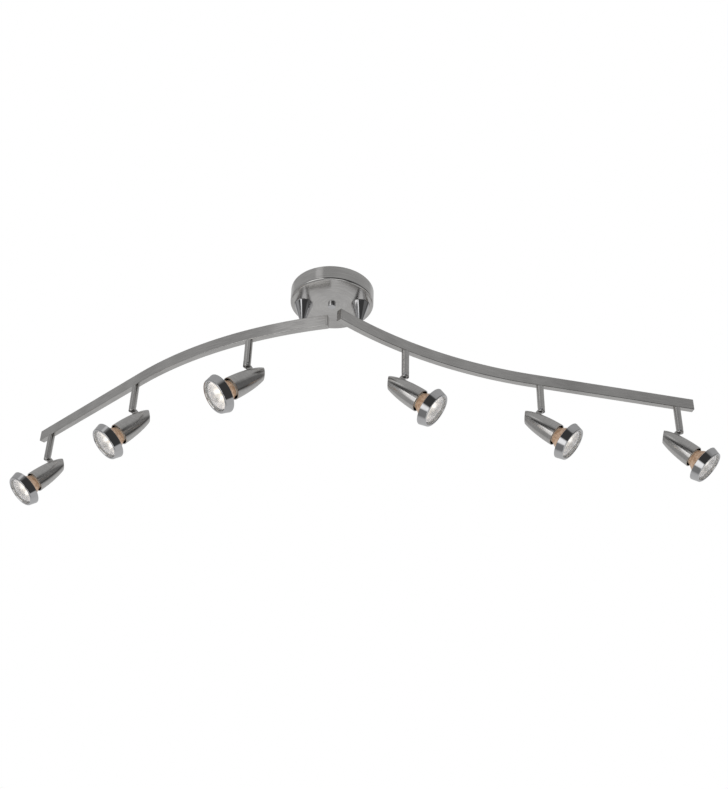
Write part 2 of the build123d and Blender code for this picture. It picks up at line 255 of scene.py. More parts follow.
@dataclass(frozen=True)
class BrushedMetal(Finish):
    """Plated steel with the fine grooves of a brush or a lathe along the piece's grain."""

    name: str = "satin_nickel_brushed"
    light: Colour = (0.73, 0.72, 0.705)
    dark: Colour = (0.54, 0.53, 0.52)
    roughness: Span = (0.17, 0.27)
    stretch: float = 0.5
    cloud: float = 0.35
    groove: float = 0.0009
    groove_length: float = 0.03
    depth: float = 0.000003

    def wire(self, wiring: Wiring) -> bpy.types.NodeSocket:
        """Builds grooves from noise that is drawn out along the grain.

        Args:
            wiring: The material's nodes.

        Returns:
            The shader's socket.
        """
        grain = wiring.node("ShaderNodeAttribute", attribute_name="grain")
        scale = (1 / self.groove, 1 / self.groove_length, 1 / self.groove_length)
        place = wiring.node("ShaderNodeMapping", {"Vector": grain.outputs["Vector"], "Scale": scale})
        lines = wiring.node(
            "ShaderNodeTexNoise",
            {"Vector": place.outputs[0], "Scale": 1.0, "Detail": 5.0, "Roughness": 0.62},
        ).outputs[0]
        clouds = wiring.noise(scale=22.0, detail=3.0)
        fine = wiring.math("MULTIPLY", lines, 1 - self.cloud)
        mixed = wiring.math("MULTIPLY_ADD", clouds, self.cloud, fine)
        smooth, coarse = self.roughness
        brush = wiring.node("ShaderNodeAttribute", attribute_name="brush")
        turn = wiring.node(
            "ShaderNodeVectorTransform",
            {"Vector": brush.outputs["Vector"]},
            vector_type="VECTOR",
            convert_from="OBJECT",
            convert_to="WORLD",
        )
        return wiring.surface(
            {
                "Base Color": wiring.blend(wiring.ramp(mixed, *NOISE_SPAN), self.dark, self.light),
                "Metallic": 1.0,
                "Roughness": wiring.ramp(mixed, *NOISE_SPAN, coarse, smooth),
                "Normal": wiring.relief(lines, self.depth, 1.0),
                "Anisotropic": self.stretch,
                "Anisotropic Rotation": 0.25,
                "Tangent": turn.outputs[0],
            }
        )


@dataclass(frozen=True)
class PolishedChrome(Finish):
    """Mirror chrome with the faint waviness and wipe marks of plated turned parts."""

    name: str = "bright_chrome_polished"
    tint: Colour = (0.70, 0.70, 0.71)
    wiped: float = 0.94
    wipe_span: Span = (0.35, 0.75)
    roughness: Span = (0.04, 0.11)
    wave_height: float = 0.00002

    def wire(self, wiring: Wiring) -> bpy.types.NodeSocket:
        """Builds a slightly uneven mirror.

        Args:
            wiring: The material's nodes.

        Returns:
            The shader's socket.
        """
        smear = wiring.noise(scale=70.0, detail=4.0)
        wave = wiring.noise(scale=160.0, detail=1.0)
        dimmed = tuple(self.wiped * value for value in self.tint)
        return wiring.surface(
            {
                "Base Color": wiring.blend(wiring.ramp(smear, *NOISE_SPAN), self.tint, dimmed),
                "Metallic": 1.0,
                "Roughness": wiring.ramp(smear, *self.wipe_span, *self.roughness),
                "Normal": wiring.relief(wave, self.wave_height, 0.5),
            }
        )


@dataclass(frozen=True)
class ZincPlate(Finish):
    """Bright zinc plate with the soft spangle and tint of passivated hardware."""

    name: str = "zinc_plate_passivated"
    yellowed: Colour = (0.58, 0.57, 0.53)
    bright: Colour = (0.72, 0.73, 0.72)
    roughness: Span = (0.28, 0.48)
    spangle_height: float = 0.00002

    def wire(self, wiring: Wiring) -> bpy.types.NodeSocket:
        """Builds a dull, slightly mottled plate.

        Args:
            wiring: The material's nodes.

        Returns:
            The shader's socket.
        """
        mottle = wiring.noise(scale=180.0, detail=6.0)
        coords = wiring.node("ShaderNodeTexCoord").outputs["Object"]
        spangle = wiring.node("ShaderNodeTexVoronoi", {"Vector": coords, "Scale": 900.0}).outputs[0]
        return wiring.surface(
            {
                "Base Color": wiring.blend(mottle, self.yellowed, self.bright),
                "Metallic": 1.0,
                "Roughness": wiring.ramp(mottle, *NOISE_SPAN, *self.roughness),
                "Normal": wiring.relief(spangle, self.spangle_height, 0.4),
            }
        )


@dataclass(frozen=True)
class GlazedCeramic(Finish):
    """White glazed steatite with faint specks."""

    name: str = "white_ceramic_glazed"
    white: Colour = (0.83, 0.80, 0.73)
    speck: Colour = (0.62, 0.56, 0.47)
    speck_span: Span = (0.62, 0.74)
    speck_share: float = 0.6
    roughness: Span = (0.16, 0.34)
    lump_height: float = 0.00008

    def wire(self, wiring: Wiring) -> bpy.types.NodeSocket:
        """Builds a warm white body with specks under a glaze.

        Args:
            wiring: The material's nodes.

        Returns:
            The shader's socket.
        """
        grit = wiring.ramp(wiring.noise(scale=1400.0, detail=2.0), *self.speck_span, 0.0, self.speck_share)
        body = wiring.noise(scale=90.0, detail=3.0)
        return wiring.surface(
            {
                "Base Color": wiring.blend(grit, self.white, self.speck),
                "Roughness": wiring.ramp(body, *NOISE_SPAN, *self.roughness),
                "Normal": wiring.relief(body, self.lump_height, 0.5),
            }
        )


@dataclass(frozen=True)
class AmberGlass(Finish):
    """The coated amber glass of the lamp's neck and bowl, with a painted glow standing in for light from
    behind.
    """

    name: str = "lamp_glass_amber"
    deep: Colour = (0.47, 0.29, 0.18)
    pale: Colour = (0.72, 0.51, 0.36)
    roughness: Span = (0.12, 0.26)
    lump_height: float = 0.00002
    coat: float = 0.35
    # painted glow: emission standing in for light coming through the glass
    glow: float = 0.22

    def wire(self, wiring: Wiring) -> bpy.types.NodeSocket:
        """Builds a cloudy amber coat under clear gloss, with a painted glow in the coat's colour.

        Args:
            wiring: The material's nodes.

        Returns:
            The shader's socket.
        """
        haze = wiring.noise(scale=240.0, detail=3.0)
        colour = wiring.blend(wiring.ramp(haze, *NOISE_SPAN), self.deep, self.pale)
        return wiring.surface(
            {
                "Base Color": colour,
                "Roughness": wiring.ramp(haze, *NOISE_SPAN, *self.roughness),
                "Normal": wiring.relief(haze, self.lump_height, 0.4),
                "Coat Weight": self.coat,
                "Coat Roughness": 0.05,
                # painted glow in the glass's own colour
                "Emission Color": colour,
                "Emission Strength": self.glow,
            }
        )


@dataclass(frozen=True)
class MirrorCoat(Finish):
    """The aluminium coat inside the lamp's bowl, with a painted warm glow that grows towards its throat."""

    name: str = "lamp_mirror_coat"
    cool: Colour = (0.86, 0.86, 0.88)
    # painted glow: this warm tint stands in for warm light in the throat
    warm: Colour = (0.98, 0.92, 0.84)
    haze: float = 0.25
    painted_glow_span: Span = (0.2, 0.75)
    metal: float = 0.8
    roughness: Span = (0.24, 0.32)
    # painted glow: emission strength from the rim to the throat
    glow: Span = (0.06, 0.68)

    def wire(self, wiring: Wiring) -> bpy.types.NodeSocket:
        """Builds a bright coat whose tint and emission, a painted warm glow, grow with the depth attribute
        towards the throat.

        Args:
            wiring: The material's nodes.

        Returns:
            The shader's socket.
        """
        depth = wiring.node("ShaderNodeAttribute", attribute_name="depth").outputs["Fac"]
        haze = wiring.noise(scale=120.0, detail=1.0)
        # painted warm glow: share of warm tint and emission, larger towards the throat
        painted_glow_share = wiring.math("MULTIPLY_ADD", haze, self.haze, depth)
        colour = wiring.blend(wiring.ramp(painted_glow_share, *self.painted_glow_span), self.cool, self.warm)
        return wiring.surface(
            {
                "Base Color": colour,
                "Metallic": self.metal,
                "Roughness": wiring.ramp(haze, *NOISE_SPAN, *self.roughness),
                "Emission Color": colour,
                "Emission Strength": wiring.ramp(painted_glow_share, *self.painted_glow_span, *self.glow),
            }
        )


@dataclass(frozen=True)
class RimSealantAndShade(Finish):
    """Grey paint on the lamp's rim and inside: a sealant bead, and a painted shadow in the gap between the
    rim and the cover glass.
    """

    name: str = "lamp_rim_sealant_and_painted_shade"
    dark: Colour = (0.38, 0.38, 0.375)
    light: Colour = (0.56, 0.555, 0.55)
    roughness: Span = (0.3, 0.45)

    def wire(self, wiring: Wiring) -> bpy.types.NodeSocket:
        """Builds a dull, slightly uneven grey of sealant and painted shade.

        Args:
            wiring: The material's nodes.

        Returns:
            The shader's socket.
        """
        lumps = wiring.noise(scale=420.0, detail=3.0)
        return wiring.surface(
            {
                "Base Color": wiring.blend(lumps, self.dark, self.light),
                "Roughness": wiring.ramp(lumps, *NOISE_SPAN, *self.roughness),
            }
        )


@dataclass(frozen=True)
class FrostedCapsule(Finish):
    """The frosted inner capsule of the lamp, warm white."""

    name: str = "lamp_capsule_frosted"
    cream: Colour = (0.90, 0.82, 0.66)
    white: Colour = (0.97, 0.93, 0.84)
    roughness: Span = (0.35, 0.55)
    milkiness: float = 0.3
    # painted glow: emission in the capsule's own colour
    glow: float = 0.35

    def wire(self, wiring: Wiring) -> bpy.types.NodeSocket:
        """Builds a soft translucent white with a painted glow.

        Args:
            wiring: The material's nodes.

        Returns:
            The shader's socket.
        """
        frost = wiring.noise(scale=800.0, detail=3.0)
        colour = wiring.blend(frost, self.cream, self.white)
        return wiring.surface(
            {
                "Base Color": colour,
                "Roughness": wiring.ramp(frost, *NOISE_SPAN, *self.roughness),
                "Subsurface Weight": self.milkiness,
                "Subsurface Radius": (0.004, 0.003, 0.002),
                # painted glow
                "Emission Color": colour,
                "Emission Strength": self.glow,
            }
        )


@dataclass(frozen=True)
class CoverGlass(Finish):
    """The clear glass over the lamp's face."""

    name: str = "lens_glass_clear"
    cool: Colour = (0.86, 0.88, 0.88)
    dusty: Colour = (0.95, 0.95, 0.94)
    dust_span: Span = (0.4, 0.8)
    roughness: Span = (0.02, 0.06)
    film_span: Span = (0.5, 0.9)
    film: Span = (0.05, 0.10)

    def wire(self, wiring: Wiring) -> bpy.types.NodeSocket:
        """Builds a thin clear gloss with faint dust.

        Args:
            wiring: The material's nodes.

        Returns:
            The shader's socket.
        """
        dust = wiring.noise(scale=90.0, detail=2.0)
        return wiring.surface(
            {
                "Base Color": wiring.blend(dust, self.cool, self.dusty),
                "Roughness": wiring.ramp(dust, *self.dust_span, *self.roughness),
                "Alpha": wiring.ramp(dust, *self.film_span, *self.film),
            }
        )


@dataclass(frozen=True)
class StudioPaper(Finish):
    """The pale floor under the fixture."""

    name: str = "studio_paper"
    grey: Colour = (0.82, 0.82, 0.81)
    white: Colour = (0.86, 0.86, 0.85)
    roughness: float = 0.9
    glow: float = 0.5

    def wire(self, wiring: Wiring) -> bpy.types.NodeSocket:
        """Builds matt off-white paper.

        Args:
            wiring: The material's nodes.

        Returns:
            The shader's socket.
        """
        colour = wiring.blend(wiring.noise(scale=6.0, detail=5.0), self.grey, self.white)
        return wiring.surface(
            {
                "Base Color": colour,
                "Roughness": self.roughness,
                "Emission Color": colour,
                "Emission Strength": self.glow,
            }
        )


NICKEL = BrushedMetal()
TURNED_NICKEL = BrushedMetal(
    name="satin_nickel_turned", roughness=(0.13, 0.22), groove=0.0007, groove_length=0.012
)
CHROME = PolishedChrome()
ZINC = ZincPlate()
CERAMIC = GlazedCeramic()
AMBER = AmberGlass()
MIRROR = MirrorCoat()
# grey of the lamp's rim and hollow: sealant bead and painted shade in the gap
SEALANT_AND_SHADE = RimSealantAndShade()
CAPSULE = FrostedCapsule()
GLASS = CoverGlass()
PAPER = StudioPaper()


# ---------------------------------------------------------------- meshes


def rounded(corners: Sequence[Corner], closed: bool = True, steps: int = 4) -> list[Point]:
    """Rounds the corners of an outline.

    Args:
        corners: Points (x, y, corner radius) in order.
        closed: Whether the last point joins the first.
        steps: Edges in each rounded corner.

    Returns:
        The outline's points.
    """
    points: list[Point] = []
    count = len(corners)
    for index, (x, y, radius) in enumerate(corners):
        at_end = not closed and index in (0, count - 1)
        if radius <= 0 or at_end:
            points.append((x, y))
            continue
        here = Vector((x, y))
        back = Vector(corners[index - 1][:2]) - here
        ahead = Vector(corners[(index + 1) % count][:2]) - here
        half = back.angle(ahead) / 2
        reach = radius / abs(sin(half) / cos(half))
        centre = here + (back.normalized() + ahead.normalized()).normalized() * radius / sin(half)
        start = here + back.normalized() * reach - centre
        end = here + ahead.normalized() * reach - centre
        turn = start.angle_signed(end)
        for step in range(steps + 1):
            arm = start.copy()
            arm.rotate(Matrix.Rotation(-turn * step / steps, 2))
            points.append(tuple(centre + arm))
    return points


def as_object(name: str, mesh: bpy.types.Mesh) -> bpy.types.Object:
    """Puts a mesh in the scene as an object at the origin.

    Args:
        name: The object's name.
        mesh: Its mesh.

    Returns:
        The object.
    """
    made = bpy.data.objects.new(name, mesh)
    bpy.context.scene.collection.objects.link(made)
    return made


def from_bmesh(name: str, shape: bmesh.types.BMesh) -> bpy.types.Object:
    """Closes a bmesh off as an object, with its faces turned outwards.

    Args:
        name: The object's name.
        shape: The bmesh, which is used up.

    Returns:
        The object.
    """
    bmesh.ops.remove_doubles(shape, verts=shape.verts, dist=TOUCH)
    bmesh.ops.recalc_face_normals(shape, faces=shape.faces)
    mesh = bpy.data.meshes.new(name)
    shape.to_mesh(mesh)
    shape.free()
    return as_object(name, mesh)


def lathe(
    name: str, outline: Sequence[Point], place: Matrix, segments: int = 96, closed: bool = True
) -> bpy.types.Object:
    """Turns an outline about the X axis of a place.

    Args:
        name: The object's name.
        outline: Points (x, radius). An open outline starts and ends on the axis.
        place: Where the axis lies.
        segments: Faces around.
        closed: Whether the last point joins the first.

    Returns:
        The turned object.
    """
    shape = bmesh.new()
    rings: list[list[bmesh.types.BMVert]] = []
    for x, radius in outline:
        turns = segments if radius > TOUCH else 1
        angles = [2 * pi * k / segments for k in range(turns)]
        rings.append([shape.verts.new(place @ Vector((x, radius * cos(a), radius * sin(a)))) for a in angles])
    pairs = list(zip(rings, rings[1:]))
    if closed:
        pairs.append((rings[-1], rings[0]))
    for first, second in pairs:
        for k in range(segments):
            loop = [first[k % len(first)], first[(k + 1) % len(first)]]
            loop += [second[(k + 1) % len(second)], second[k % len(second)]]
            unique = list(dict.fromkeys(loop))
            if len(unique) > 2:
                shape.faces.new(unique)
    return from_bmesh(name, shape)


def prism(name: str, outline: Sequence[Point], low: float, high: float, place: Matrix) -> bpy.types.Object:
    """Extrudes an outline along the Z axis of a place.

    Args:
        name: The object's name.
        outline: Points (x, y) of a closed outline.
        low: Z of the lower face.
        high: Z of the upper face.
        place: Where the outline's plane lies.

    Returns:
        The prism.
    """
    shape = bmesh.new()
    floor = [shape.verts.new(place @ Vector((x, y, low))) for x, y in outline]
    roof = [shape.verts.new(place @ Vector((x, y, high))) for x, y in outline]
    shape.faces.new(floor)
    shape.faces.new(roof)
    for k in range(len(outline)):
        after = (k + 1) % len(outline)
        shape.faces.new((floor[k], floor[after], roof[after], roof[k]))
    return from_bmesh(name, shape)


def box(name: str, size: Sequence[float], place: Matrix) -> bpy.types.Object:
    """Makes a box around the middle of a place, as a cutter.

    Args:
        name: The object's name.
        size: Its sizes along X, Y and Z.
        place: Where its middle lies.

    Returns:
        The box.
    """
    half = [value / 2 for value in size]
    outline = [(-half[0], -half[1]), (half[0], -half[1]), (half[0], half[1]), (-half[0], half[1])]
    return prism(name, outline, -half[2], half[2], place)


def applied(target: bpy.types.Object) -> bpy.types.Object:
    """Turns an object's modifiers into its mesh, and removes them.

    Args:
        target: The object.

    Returns:
        The changed object.
    """
    graph = bpy.context.evaluated_depsgraph_get()
    graph.update()
    mesh = bpy.data.meshes.new_from_object(target.evaluated_get(graph), depsgraph=graph)
    target.modifiers.clear()
    old = target.data
    target.data = mesh
    mesh.name = target.name
    if old.users == 0:
        bpy.data.meshes.remove(old)
    return target


def combine(target: bpy.types.Object, others: Iterable[bpy.types.Object], operation: str) -> bpy.types.Object:
    """Cuts other solids from an object or joins them to it, and removes them.

    Args:
        target: The object that stays.
        others: The solids to use up.
        operation: DIFFERENCE or UNION.

    Returns:
        The changed object.
    """
    used = list(others)
    for other in used:
        step = target.modifiers.new("combine", "BOOLEAN")
        step.operation = operation
        step.solver = "EXACT"
        step.object = other
        applied(target)
    for other in used:
        mesh = other.data
        bpy.data.objects.remove(other)
        bpy.data.meshes.remove(mesh)
    return target


def joined(name: str, parts: Sequence[bpy.types.Object]) -> bpy.types.Object:
    """Makes one object of several, and removes them.

    Args:
        name: The new object's name.
        parts: The objects to use up.

    Returns:
        The new object.
    """
    shape = bmesh.new()
    for part in parts:
        shape.from_mesh(part.data)
        mesh = part.data
        bpy.data.objects.remove(part)
        bpy.data.meshes.remove(mesh)
    return from_bmesh(name, shape)


def shaped(
    target: bpy.types.Object, tree: bpy.types.NodeTree, values: dict[str, object]
) -> bpy.types.Object:
    """Shapes an object by a Geometry Nodes tree, which it uses up.

    Args:
        target: The object.
        tree: The tree.
        values: A value for each of the tree's inputs, by name.

    Returns:
        The changed object.
    """
    step = target.modifiers.new("shape", "NODES")
    step.node_group = tree
    for item in tree.interface.items_tree:
        if item.in_out == "INPUT":
            step[item.identifier] = values[item.name]
    applied(target)
    bpy.data.node_groups.remove(tree)
    return target


def softened(
    target: bpy.types.Object, width: float, angle: float = 35.0, segments: int = 2
) -> bpy.types.Object:
    """Takes the sharpness off an object's edges.

    Args:
        target: The object.
        width: Width of the worn edge.
        angle: Edges sharper than this many degrees are worn.
        segments: Faces across the worn edge.

    Returns:
        The changed object.
    """
    step = target.modifiers.new("wear", "BEVEL")
    step.width = width
    step.segments = segments
    step.limit_method = "ANGLE"
    step.angle_limit = radians(angle)
    step.use_clamp_overlap = True
    return applied(target)


def halves_an_edge(point: bmesh.types.BMVert) -> bool:
    """Says whether a point only cuts a straight edge in two.

    Args:
        point: The point.

    Returns:
        True if it does.
    """
    if len(point.link_edges) != 2:
        return False
    one, other = (edge.other_vert(point).co - point.co for edge in point.link_edges)
    return one.angle(other) > radians(STRAIGHT)


def welded(target: bpy.types.Object) -> bpy.types.Object:
    """Merges the points that cuts leave on each other, and takes away those that halve an edge.

    Args:
        target: The object.

    Returns:
        The changed object.
    """
    shape = bmesh.new()
    shape.from_mesh(target.data)
    bmesh.ops.remove_doubles(shape, verts=shape.verts, dist=WELD)
    idle = [point for point in shape.verts if halves_an_edge(point)]
    bmesh.ops.dissolve_verts(shape, verts=idle)
    shape.to_mesh(target.data)
    shape.free()
    return target


def smoothed(target: bpy.types.Object, angle: float = 40.0) -> bpy.types.Object:
    """Shades an object smooth, with crisp edges above an angle in degrees.

    Args:
        target: The object.
        angle: Edges sharper than this many degrees stay crisp.

    Returns:
        The changed object.
    """
    welded(target)
    target.data.shade_smooth()
    target.data.set_sharp_from_angle(angle=radians(angle))
    step = target.modifiers.new("normals", "WEIGHTED_NORMAL")
    step.keep_sharp = True
    step.weight = NORMAL_WEIGHT
    return applied(target)


def mark_grain(
    target: bpy.types.Object, rule: Callable[[Vector], tuple[Vector, Vector]]
) -> bpy.types.Object:
    """Stores the grain's coordinates and direction on an object's points.

    Args:
        target: The object.
        rule: Gives the grain's coordinates, fine one first, and the groove's direction at a point.

    Returns:
        The object.
    """
    mesh = target.data
    grain: list[float] = []
    brush: list[float] = []
    for vertex in mesh.vertices:
        coordinates, direction = rule(vertex.co)
        grain.extend(coordinates)
        brush.extend(direction)
    for name, values in (("grain", grain), ("brush", brush)):
        old = mesh.attributes.get(name)
        if old is not None:
            mesh.attributes.remove(old)
        mesh.attributes.new(name, "FLOAT_VECTOR", "POINT").data.foreach_set("vector", values)
    return target


def turned_grain(place: Matrix) -> Callable[[Vector], tuple[Vector, Vector]]:
    """Gives the rule for grooves that run round the X axis of a place.

    Args:
        place: Where the axis lies.

    Returns:
        The rule for mark_grain.
    """
    back = place.inverted()

    def rule(point: Vector) -> tuple[Vector, Vector]:
        """Finds how far out a point is, and the way round.

        Args:
            point: A point of the piece in the frame.

        Returns:
            The grain's coordinates and the groove's direction.
        """
        x, y, z = back @ point
        radius = max(hypot(y, z), MERGE)
        around = Vector((0, -z / radius, y / radius))
        coordinates = Vector((x + radius, AROUND_REACH * y / radius, AROUND_REACH * z / radius))
        return coordinates, place.to_3x3() @ around

    return rule


def dressed(
    target: bpy.types.Object, finishes: Sequence[Finish], body: str, nodes: Sequence[str] = ()
) -> bpy.types.Object:
    """Gives a finished piece its finishes and its body.

    Args:
        target: The piece.
        finishes: One finish for each material index.
        body: The CAD body that it rides on.
        nodes: The CAD nodes that it stands for.

    Returns:
        The piece.
    """
    target.data.materials.clear()
    for finish in finishes:
        target.data.materials.append(finish.material())
    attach(target, body)
    if nodes:
        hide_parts(*nodes)
    LOG.info("%s: %d faces on %s", target.name, len(target.data.polygons), body)
    return target


def dress_node(name: str, finish: Finish) -> None:
    """Gives a CAD node that stays its finish.

    Args:
        name: The node's name.
        finish: The finish.
    """
    mesh = frame["nodes"][name].data
    mesh.materials.clear()
    mesh.materials.append(finish.material())


def middle(node: str) -> Vector:
    """Gives the middle of a CAD node's box."""
    low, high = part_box(node)
    return (low + high) / 2


def along(origin: Vector, x_axis: Vector, y_axis: Vector) -> Matrix:
    """Gives the place with this origin, X axis and Y axis.

    Args:
        origin: Its origin.
        x_axis: Direction of its X axis.
        y_axis: Direction of its Y axis.

    Returns:
        The place.
    """
    x, y = x_axis.normalized(), y_axis.normalized()
    z = x.cross(y)
    columns = Matrix((x, y, z)).transposed()
    return Matrix.Translation(origin) @ columns.to_4x4()


def hanging(origin: Vector) -> Matrix:
    """Gives the place at an origin whose X axis points straight down."""
    return along(origin, Vector((0, 0, -1)), Vector((1, 0, 0)))


JOINTS = {joint["name"]: joint for joint in frame["joints"]}
HEADS = [name.removesuffix("_tilt") for name in JOINTS if name.endswith("_tilt")]
BASE_BODY = next(joint["parent"] for joint in frame["joints"] if joint["name"].endswith("arm_swivel"))


# ---------------------------------------------------------------- ceiling mount


@dataclass
class CeilingMount:
    """The canopy with its cap nut, the two cone stand-offs and the hidden hardware."""

    wall: float = 1.5 * MM
    edge_round: float = 3.0 * MM
    rim_round: float = 0.4 * MM
    hole_gap: float = 0.15 * MM
    stud_radius: float = 2.5 * MM
    center_stud_radius: float = 3.0 * MM
    cone_foot_radius: float = 4.7 * MM
    cone_edge: float = 0.5 * MM
    nut_groove: float = 0.35 * MM
    nut_groove_share: float = 0.3
    nut_groove_round: float = 0.1 * MM
    nut_top_round: float = 0.2 * MM
    nut_dome_round: float = 1.5 * MM
    body: str = BASE_BODY
    hidden: tuple[str, ...] = (
        "ceiling_crossbar",
        "center_stud",
        "standoff_nuts",
        "pivot_studs",
        "pivot_nuts",
    )

    def __post_init__(self) -> None:
        """Reads the places from the frame."""
        low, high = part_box("canopy")
        self.radius = (high.x - low.x) / 2
        self.face = low.z
        self.pivots = [Vector(JOINTS[f"{side.value}_arm_swivel"]["pos_m"]) for side in Side]

    def build_canopy(self) -> bpy.types.Object:
        """Builds the spun pan, hollow and open to the ceiling.

        Returns:
            The pan.
        """
        depth, inside = -self.face, self.radius - self.wall
        outline = rounded(
            [
                (0, self.radius, self.rim_round),
                (depth, self.radius, self.edge_round),
                (depth, 0, 0),
                (depth - self.wall, 0, 0),
                (depth - self.wall, inside, self.edge_round - self.wall),
                (0, inside, self.rim_round),
            ],
            steps=8,
        )
        place = hanging(Vector((0, 0, 0)))
        pan = lathe("canopy_pan", outline, place, segments=192)
        cutters = [self.drill(Vector((0, 0, 0)), self.center_stud_radius)]
        cutters += [self.drill(Vector((pivot.x, pivot.y, 0)), self.stud_radius) for pivot in self.pivots]
        combine(pan, cutters, "DIFFERENCE")
        smoothed(pan)
        mark_grain(pan, turned_grain(place))
        return dressed(pan, [TURNED_NICKEL], self.body, ["canopy"])

    def drill(self, place: Vector, radius: float) -> bpy.types.Object:
        """Makes the cutter for a hole through the canopy's face.

        Args:
            place: The hole's place under the ceiling.
            radius: Radius of the stud in the hole.

        Returns:
            The cutter.
        """
        reach = radius + self.hole_gap
        outline = [(-2 * self.face, 0), (-2 * self.face, reach), (-self.face / 2, reach), (-self.face / 2, 0)]
        return lathe("drill", outline, hanging(place), segments=32, closed=False)

    def build_cap_nut(self) -> bpy.types.Object:
        """Builds the round closed nut with a groove above its domed end.

        Returns:
            The nut.
        """
        low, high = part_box("canopy_cap_nut")
        radius, height = (high.x - low.x) / 2, high.z - low.z
        groove = self.nut_groove_share * height
        outline = rounded(
            [
                (0, 0, 0),
                (0, radius, self.nut_top_round),
                (groove, radius, self.nut_groove_round),
                (groove + self.nut_groove / 2, radius - self.nut_groove, self.nut_groove_round),
                (groove + self.nut_groove, radius, self.nut_groove_round),
                (height, radius, self.nut_dome_round),
                (height, 0, 0),
            ],
            closed=False,
            steps=6,
        )
        place = hanging(Vector((0, 0, high.z)))
        nut = smoothed(lathe("canopy_cap", outline, place, segments=72, closed=False))
        return dressed(nut, [CHROME], self.body, ["canopy_cap_nut"])

    def build_cones(self) -> bpy.types.Object:
        """Builds both cones, bored for the pivot studs.

        Returns:
            The cones.
        """
        low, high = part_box("cone_standoffs")
        top_radius = (high.y - low.y) / 2
        length = high.z - low.z
        bore = self.stud_radius + self.hole_gap
        outline = rounded(
            [
                (0, bore, 0),
                (0, top_radius, self.cone_edge),
                (length, self.cone_foot_radius, self.cone_edge),
                (length, bore, 0),
            ],
            steps=5,
        )
        shapes = [
            lathe("cone", outline, hanging(Vector((pivot.x, pivot.y, high.z))), segments=96)
            for pivot in self.pivots
        ]
        cones = smoothed(joined("standoff_cones", shapes))
        return dressed(cones, [CHROME], self.body, ["cone_standoffs"])

    def build(self) -> None:
        """Builds the mount and dresses the hardware that stays as it is."""
        self.build_canopy()
        self.build_cap_nut()
        self.build_cones()
        for node in self.hidden:
            dress_node(node, ZINC)


# ---------------------------------------------------------------- arms


